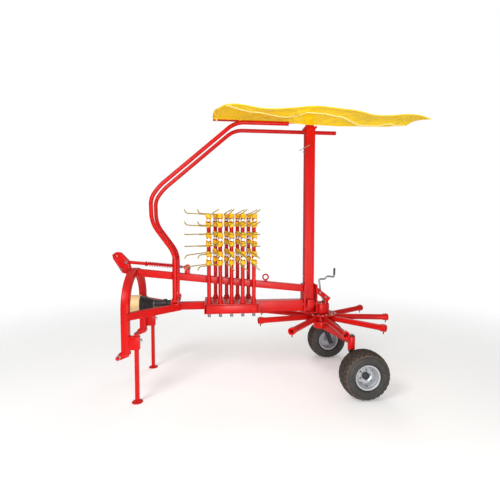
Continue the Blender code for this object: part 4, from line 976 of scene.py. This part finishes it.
# ------------------------------------------------------------------ curtain
CURTAIN_X0, CURTAIN_X1 = 0.812, 2.800
NEAR_Y, BAR_Y = -0.540, -0.0212
FOLD_Y, FOLD_Z, FOLD_RADIUS = -0.080, 0.800, 1.884     # the hinge, and the arc round it that clears the hoop
NEAR_HEIGHT = (
    (0.812, 2.634), (0.92, 2.650), (1.03, 2.656), (1.27, 2.627), (1.50, 2.640), (1.73, 2.664),
    (1.95, 2.650), (2.12, 2.634), (2.27, 2.604), (2.42, 2.606), (2.60, 2.622), (2.72, 2.612), (2.80, 2.588))
BAR_HEIGHT = (
    (0.812, 2.694), (1.10, 2.692), (1.35, 2.686), (1.56, 2.684), (1.70, 2.655), (1.90, 2.650),
    (2.10, 2.645), (2.30, 2.650), (2.55, 2.654), (2.70, 2.664), (2.80, 2.668))
WELT_LINE = (
    (0.92, 0.03), (1.06, 0.32), (1.25, 0.41), (1.43, 0.63), (1.55, 0.66), (1.65, 0.42), (1.76, 0.36),
    (2.04, 0.47), (2.18, 0.68), (2.29, 0.86), (2.46, 0.90), (2.58, 0.78), (2.79, 0.90))
# Each fold's place along the bar and share across, its lean and its height.
FOLDS = ((1.65, 0.30, 0.37, -0.022), (2.19, 0.20, 0.90, -0.006), (2.63, 0.40, -0.08, -0.020),
         (1.14, 0.30, -0.50, -0.010), (1.36, 0.55, 0.60, 0.006), (2.40, 0.60, 0.20, 0.007))
FOLD_HALF_WIDTH = 0.055
SHEET_TOP = 2.716
SHEET_THICK = 0.0018
SHEET_COLUMNS, SHEET_ROWS = 170, 34


def spot(x: float, share: float) -> Vector:
    """Point on the sheet's underside, at x and with a share of 0 at the near hem and 1 at the bar."""
    left = 1 - limited((x - CURTAIN_X0) / 0.14)
    near = NEAR_Y + 0.36 * (1 - sqrt(max(0.0, 1 - left**2)))
    bar = BAR_Y - 0.050 * limited((x - 1.57) / 0.12)
    y = near + (bar - near) * share
    crown = FOLD_Z + sqrt(FOLD_RADIUS**2 - (y - FOLD_Y) ** 2)
    low, high = smooth_through(NEAR_HEIGHT, x), smooth_through(BAR_HEIGHT, x)
    belly = 4 * share * (1 - share)
    z = low + (high - low) * share + belly * 0.020
    fold = abs(share - smooth_through(WELT_LINE, x))
    z -= 0.012 * max(0.0, 1 - fold / 0.22) * min(1.0, share * 6) * min(1.0, (1 - share) * 8)
    # Pleats that fan out from the mast.
    reach = hypot(x - 1.81, 0.9 * (y + 0.02))
    turn = atan2(y + 0.02, x - 1.81)
    z += 0.0065 * sin(13 * turn + 0.8) * max(0.0, 1 - reach / 0.55) * min(1.0, reach / 0.06) * belly
    for cx, cs, lean, deep in FOLDS:
        off = (x - cx) - lean * (cs - share) * 0.9
        z += (deep * min(1.0, share * 4) * (1 - share) ** 0.5
              * max(0.0, 1 - (off / FOLD_HALF_WIDTH) ** 2) ** 2)
    z += 0.0012 * sin(37 * x + 9 * share) * belly
    if x < 1.60:                # keep clear of the hoop while folding
        z = max(z, crown - 0.002)
    return Vector((x, y, min(z, SHEET_TOP)))


def build_sheet() -> None:
    """The sheet with its thickness, flat map, hem and welt."""
    work = bmesh.new()
    span, width = CURTAIN_X1 - CURTAIN_X0, BAR_Y - NEAR_Y
    grid = [[work.verts.new(spot(CURTAIN_X0 + span * i / SHEET_COLUMNS, j / SHEET_ROWS) + Frame.shift)
             for j in range(SHEET_ROWS + 1)] for i in range(SHEET_COLUMNS + 1)]
    layer = work.loops.layers.uv.new("flat")
    area = 0.0
    for i in range(SHEET_COLUMNS):
        for j in range(SHEET_ROWS):
            around_face = ((i, j), (i + 1, j), (i + 1, j + 1), (i, j + 1))
            face = work.faces.new([grid[a][b] for a, b in around_face])
            area += face.calc_area()
            for loop, (a, b) in zip(face.loops, around_face):
                loop[layer].uv = (span * a / SHEET_COLUMNS, width * b / SHEET_ROWS)
    bmesh.ops.recalc_face_normals(work, faces=work.faces)
    mesh = bpy.data.meshes.new("curtain_cloth")
    work.to_mesh(mesh)
    work.free()
    if sum(p.normal.z for p in mesh.polygons) < 0:
        mesh.flip_normals()
    mesh.materials.append(coating("sheet"))
    cloth = settle(mesh, "curtain_cloth", "curtain_arm", ("curtain_sheet",), 180)
    skin = cloth.modifiers.new("thickness", "SOLIDIFY")
    skin.thickness = SHEET_THICK
    skin.offset = 1.0
    hem = build_hem()


def build_hem() -> bpy.types.Object:
    """Rolled hem round the sheet and the pale welt across its underside."""
    shape = Shape("curtain_hem", "welt", "sheet")
    span = CURTAIN_X1 - CURTAIN_X0
    near, bar = ([spot(CURTAIN_X0 + span * i / 110, share) for i in range(111)] for share in (0.0, 1.0))
    front, rear = ([spot(x, j / 16) for j in range(1, 16)] for x in (CURTAIN_X0, CURTAIN_X1))
    loop = [p + Z * SHEET_THICK / 2 for p in near + rear + bar[::-1] + front[::-1]]
    shape.sweep(loop, circle(0.0046, 8), Z, 1, closed=True)
    line = [spot(x, smooth_through(WELT_LINE, x)) - Z * 0.0012
            for x in (0.93 + (2.785 - 0.93) * i / 120 for i in range(121))]
    shape.sweep(line, [Vector((p.x * 0.4, p.y)) for p in circle(0.0100, 10)], Z)
    return shape.finish("curtain_arm", crease=60)


def build_mast() -> None:
    """Mast, bar, clamp bolts, lock pin and the clips that hold the sheet."""
    dress("curtain_mast", "red", along=Z, corner=0.008)
    dress("curtain_bar", "red", along=X, corner=0.003)
    shape = Shape("mast_fittings", "zinc", "welt", "red")
    strap = [Vector((u * 0.0010, v * 0.009)) for u, v in ((1, 1), (-1, 1), (-1, -1), (1, -1))]
    for x in (0.845, 1.085, 1.33, 1.56, 1.96, 2.14, 2.32, 2.50, 2.66):
        shape.slab((x - 0.009, -0.0222, 2.680), (x + 0.009, 0.0222, 2.7060), 0.001, 1)
        edge = spot(x, 0.97) + Z * 0.0040
        route = [edge, edge + Vector((0, 0.020, 0.002)), (x, -0.030, 2.7050), (x, -0.020, 2.7052)]
        shape.sweep(bends(route, 0.01), strap, Z, 1)
    loop = bends([(1.7605, -0.022, 2.400), (1.744, -0.024, 2.396), (1.738, -0.024, 2.372),
                  (1.752, -0.024, 2.366), (1.7605, -0.024, 2.382)], 0.008)
    shape.sweep(loop, circle(0.0022, 8), Y)
    shape.slab((1.742, -0.020, 2.588), (1.7625, 0.020, 2.612), 0.002, 2)
    shape.rod((1.7610, 0, 1.080), (1.7530, 0, 1.080), 0.010, 16, 0, 0.001)
    pull = bends([(1.800, -0.0520, 2.448), (1.795, -0.060, 2.446), (1.690, -0.064, 2.384)], 0.006)
    shape.sweep(pull, circle(0.0040, 10), Y)
    shape.finish("curtain_arm")
    heads = [(Vector((1.812 + sx * 0.054, sy * 0.052, 2.637)), Z, X) for sx in (-1, 1) for sy in (-1, 1)]
    bolts("mast_bolts", heads, "zinc", "curtain_arm", (0.0070, 0.006), (0.0088, 0.002))


# ------------------------------------------------------------------ guard hoops
HOOP_Y, HOOP_X, HOOP_Z, HOOP_TOP = 0.138, 0.428, 0.870, 2.629
HOOP_RADIUS = 0.020


def build_guards() -> None:
    """Hoops, folded up, with smooth bends, capped ends and hinge barrels."""
    x, z, top = HOOP_X, HOOP_Z, HOOP_TOP
    for side, end in ((Side.LEFT, 1.560), (Side.RIGHT, 2.142)):
        y = side.value * HOOP_Y
        corners = [(x, y, z - 0.004), (x + 0.004, y, 1.335), (0.212, y, 1.640), (0.206, y, 1.880),
                   (0.290, y, 1.998), (1.030, y, top), (end - 0.003, y, top + 0.001)]
        shape = Shape(f"guard_tube_{side.label}", "red", "zinc", "black")
        shape.sweep(bends(corners, 0.095, 9), circle(HOOP_RADIUS, 20), Y)
        shape.rod((end - 0.0032, y, top + 0.001), (end, y, top + 0.001), 0.0205, 20, 2, 0.0012)
        shape.rod((x - 0.0228, y, z), (x + 0.0228, y, z), 0.023, 28, 0, 0.0015)
        shape.rod((x - 0.0375, y, z), (x + 0.0375, y, z), 0.0078, 16, 1, 0.001)
        weld = [Vector((x, y, z + 0.021)) + v * 0.0210 for v in around(24, X, Y)]
        shape.sweep(weld, circle(0.0026, 6), Z, closed=True)
        shape.finish(f"guard_{side.label}", f"guard_hoop_{side.label}")


# ------------------------------------------------------------------ running gear
WHEEL_X, WHEEL_Y, TYRE_RADIUS = 2.200, 0.551, 0.2285
TYRE_WALL = (
    (0.1003, 0.0825), (0.1190, 0.0830), (0.1215, 0.0870), (0.1250, 0.0960), (0.1310, 0.1020),
    (0.1350, 0.1040), (0.1365, 0.1055), (0.1385, 0.1055), (0.1400, 0.1045), (0.1500, 0.1065),
    (0.1640, 0.1075), (0.1655, 0.1075), (0.1685, 0.1075), (0.1700, 0.1070), (0.1780, 0.1050),
    (0.1880, 0.1010), (0.1970, 0.0945), (0.2040, 0.0865), (0.2100, 0.0760), (0.2155, 0.0600),
    (0.2195, 0.0400), (0.2215, 0.0250), (0.2225, 0.0120))
BLOCKS_ROUND = 27
# Each tread row's distance from the middle, radius, lean in degrees and share of a step it is turned by.
TREAD_ROWS = ((0.000, 0.2283, 0.0, 0.0), (0.028, 0.2268, 32, 0.5), (0.055, 0.2222, -32, 0.0))
SHOULDER_ROWS = ((0.0800, 0.2128, 28, 0.5),)
RIM_BARREL, RIM_LIP = 0.100, 0.1175


def wheel_place(side: Side) -> tuple[Vector, Vector, str]:
    """Centre, outward axis and body of a wheel."""
    return Vector((WHEEL_X, side.value * WHEEL_Y, TYRE_RADIUS)), Y * side.value, f"wheel_{side.label}"


def tread_row(centre: Vector, axis: Vector, offset: float, radius: float, lean: float,
              stagger: float) -> list[Spot]:
    """Places of the blocks of one row, and of its mirrored row unless it runs in the middle."""
    spots = []
    for hand in ((1,) if offset == 0 else (1, -1)):
        tilt = atan2(offset, 0.175 - offset) * 0.75 * hand
        spin = radians(lean) * hand
        for i in range(BLOCKS_ROUND):
            a = TAU * (i + stagger) / BLOCKS_ROUND
            out, along = Vector((cos(a), 0, sin(a))), Vector((-sin(a), 0, cos(a)))
            aim = (out * cos(tilt) + axis * sin(tilt)).normalized()
            roll = along * cos(spin) + axis * sin(spin)
            spots.append((centre + axis * offset * hand + out * radius, aim, roll - aim * roll.dot(aim)))
    return spots


def build_tyre(side: Side) -> None:
    """Carcass by turning, tread blocks by repeating."""
    centre, axis, body = wheel_place(side)
    tyre = Shape(f"tyre_{side.label}_carcass", "tyre", "tread")
    section = [*TYRE_WALL, *((r, -h) for r, h in reversed(TYRE_WALL))]
    tyre.turn(section, centre, axis, 72)
    ground = [(r + 0.0008, h) for r, h in section if r > 0.196]
    tyre.turn(ground + [(0.190, ground[-1][1]), (0.190, ground[0][1])], centre, axis, 72, 1)
    tyre.finish(body, f"tyre_{side.label}", crease=50)
    for label, rows, length in (("inner", TREAD_ROWS, 0.038), ("outer", SHOULDER_ROWS, 0.032)):
        points = [block for row in rows for block in tread_row(centre, axis, *row)]
        repeat(tread_block, f"tread_{label}_{side.label}", points, "tyre", body, 30, Length=length,
               Width=0.0170, Height=0.0085)


def build_rim(side: Side) -> None:
    """Pressed rim with rolled lips and a deep dish, hub, dust cap and wheel bolts."""
    centre, axis, body = wheel_place(side)
    rim = Shape(f"rim_{side.label}_pressed", "silver", "black")
    lip, barrel = RIM_LIP, RIM_BARREL
    edge = [(0.1035, 0.0835), (0.1120, 0.0845), (0.1150, 0.0880), (lip - 0.001, 0.0890), (lip, 0.0880),
            (lip, 0.0850), (0.1145, 0.0815), (barrel, 0.0810)]
    rim.turn([
        (0.0165, 0.030), (0.034, 0.030), (0.036, 0.027), (0.040, 0.015), (0.052, 0.012), (0.060, 0.013),
        (0.066, 0.017), (0.072, 0.019), (0.078, 0.016), (0.083, 0.010), (0.0875, 0.010), (0.0895, 0.020),
        (0.0900, 0.045), (0.0930, 0.060), (0.0975, 0.066), (0.0985, 0.078), *edge,
        *((r, -h) for r, h in reversed(edge)), (0.0985, -0.078), (0.0940, -0.060), (0.0930, -0.004),
        (0.040, -0.004), (0.036, -0.008), (0.032, -0.014), (0.032, -0.106), (0.0165, -0.106)],
        centre, axis, 72)
    rim.turn([(0.0335, 0.0302), (0.0335, 0.044), (0.0305, 0.049), (0.012, 0.0535), (0.002, 0.054)], centre,
             axis, 40, 1, capped=True)
    # The dish's holes are black discs set flush in it: painted shade for the dark space seen through each
    # hole, with no real opening.
    for out in around(5, X, Z, 0.5):
        hole = centre + out * 0.0765
        rim.rod(hole + axis * 0.0150, hole + axis * 0.0180, 0.0068, 16, 1)
    rim.finish(body, f"rim_{side.label}", crease=32)
    heads = [(centre + out * 0.0500 + axis * 0.0130, axis, out) for out in around(5, X, Z)]
    bolts(f"wheel_bolts_{side.label}", heads, "steel", body, (0.0078, 0.0095), (0.0098, 0.003))
    valve = Shape(f"valve_{side.label}", "rubber")
    root = centre - Z * 0.091 + axis * 0.046
    valve.rod(root, root + axis * 0.026 + Z * 0.009, 0.0045, 12, 0, 0.001)
    valve.finish(body)


def build_wheels() -> None:
    """Both wheels, and their casters."""
    for side in Side:
        build_tyre(side)
        build_rim(side)
        dress(f"caster_{side.label}", "black", edge=0.0015, crease=35)
        caps = Shape(f"kingpin_cap_{side.label}", "zinc")
        y = side.value * 0.400
        caps.rod((2.135, y, 0.557), (2.135, y, 0.5665), 0.0120, 6, 0, 0.001)
        caps.finish(f"caster_fork_{side.label}")


# ------------------------------------------------------------------ studio
WHITE = linear("#FFFFFF")
LAMPS = (       # name, place, aim, size, power
    ("key_box", (-3.4, -3.8, 4.6), (0.0, 0.0, 1.0), 2.2, 165),
    ("fill_box", (4.2, -4.4, 1.6), (0.0, 0.0, 1.2), 3.0, 35),
    ("low_box", (0.0, -4.4, 0.90), (0.2, -0.3, 2.5), 1.4, 135),
    ("rim_box", (0.8, 4.6, 4.2), (0.0, 0.0, 1.2), 3.0, 90))
CAMERA_PLACE, CAMERA_PITCH, CAMERA_HEADING = Vector((0.8214, -3.5805, 1.5474)), 87.096, -5.838
CAMERA_LENS, CAMERA_SENSOR = 24.84, 36.0


def build_card() -> bpy.types.Material:
    """White card that fades into the white surroundings, so that no horizon shows."""
    material, tree, place = empty_material("white_card")
    bump = add_node(tree, "ShaderNodeBump", {"Height": noise(tree, place, 40.0, 2.0), "Distance": 0.0001})
    matt = add_node(tree, "ShaderNodeBsdfDiffuse",
                    {"Color": linear("#F4F4F3"), "Normal": bump.outputs["Normal"]})
    lit = add_node(tree, "ShaderNodeEmission", {"Color": WHITE, "Strength": 0.22})
    both = add_node(tree, "ShaderNodeAddShader", {0: matt.outputs["BSDF"], 1: lit.outputs["Emission"]})
    clear = add_node(tree, "ShaderNodeBsdfTransparent")
    far = add_node(tree, "ShaderNodeVectorMath", {0: place}, operation="LENGTH").outputs["Value"]
    fade = remap(tree, far, (1.7, 6.0), (0.0, 1.0), interpolation_type="SMOOTHSTEP")
    whole = add_node(tree, "ShaderNodeMixShader",
                     {0: fade, 1: both.outputs["Shader"], 2: clear.outputs["BSDF"]})
    add_node(tree, "ShaderNodeOutputMaterial", {"Surface": whole.outputs["Shader"]})
    return material


def build_floor() -> None:
    """Wide white floor."""
    mesh = bpy.data.meshes.new("studio_floor")
    mesh.from_pydata([(-30, -20, 0), (30, -20, 0), (30, 60, 0), (-30, 60, 0)], [], [(0, 1, 2, 3)])
    mesh.materials.append(build_card())
    put("studio_floor", mesh)


def build_light() -> None:
    """White surroundings, dimmer as a light than they look, and four soft boxes."""
    world = bpy.data.worlds.new("studio")
    world.use_nodes = True
    tree = world.node_tree
    tree.nodes.clear()
    seen, cast = (
        add_node(tree, "ShaderNodeBackground", {"Color": WHITE, "Strength": power}).outputs["Background"]
        for power in (1.0, 0.34))
    path = add_node(tree, "ShaderNodeLightPath")
    both = add_node(tree, "ShaderNodeMixShader", {0: path.outputs["Is Camera Ray"], 1: cast, 2: seen})
    add_node(tree, "ShaderNodeOutputWorld", {"Surface": both.outputs["Shader"]})
    bpy.context.scene.world = world
    for name, place, aim, size, power in LAMPS:
        data = bpy.data.lights.new(name, "AREA")
        data.size = size
        data.energy = power
        lamp = put(name, data)
        lamp.location = place
        lamp.rotation_euler = (Vector(aim) - Vector(place)).to_track_quat("-Z", "Y").to_euler()
        lamp.visible_camera = False


def build_camera() -> None:
    """Level camera at the machine's side."""
    data = bpy.data.cameras.new("camera")
    data.lens = CAMERA_LENS
    data.sensor_width = data.sensor_height = CAMERA_SENSOR
    camera = put("camera", data)
    camera.location = CAMERA_PLACE + Frame.shift
    camera.rotation_euler = (radians(CAMERA_PITCH), 0.0, radians(CAMERA_HEADING))
    bpy.context.scene.camera = camera
    bpy.context.scene.view_settings.view_transform = "Standard"


# ------------------------------------------------------------------ the whole machine
def measure_shift() -> Vector:
    """Offset from the maker's own zero, under the arch, to the model's frame."""
    low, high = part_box("headstock_arch")
    return Vector((low.x + 0.024, (low.y + high.y) / 2, 0.0))


def corners(pair: tuple[Vector, Vector]) -> list[list[float]]:
    """A box as plain lists of numbers."""
    return [[float(v) for v in corner] for corner in pair]


def main() -> None:
    """Build every sub-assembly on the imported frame."""
    logging.basicConfig(level=logging.INFO, format="%(name)s: %(message)s")
    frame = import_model()
    Frame.shift = measure_shift()
    Frame.nodes, Frame.bodies = frame["nodes"], frame["record"]["behaviour"]["bodies"]
    for name in FINISHES:
        coating(name)
    for build in (
        build_floor, build_light, build_camera,
        build_arch, build_hitch, build_inlet, build_stands,
        build_tubes, build_strut, build_rack_detail, build_fixings, build_stowed_arms,
        build_head, build_stubs, build_crank,
        build_mast, build_sheet, build_guards, build_wheels,
    ):
        build()
    for name, node in frame["nodes"].items():
        if not node.hide_render:
            LOG.info("%s keeps its CAD shape", name)
            for slot in node.material_slots:
                slot.material = coating("red")


if __name__ == "__main__":
    main()
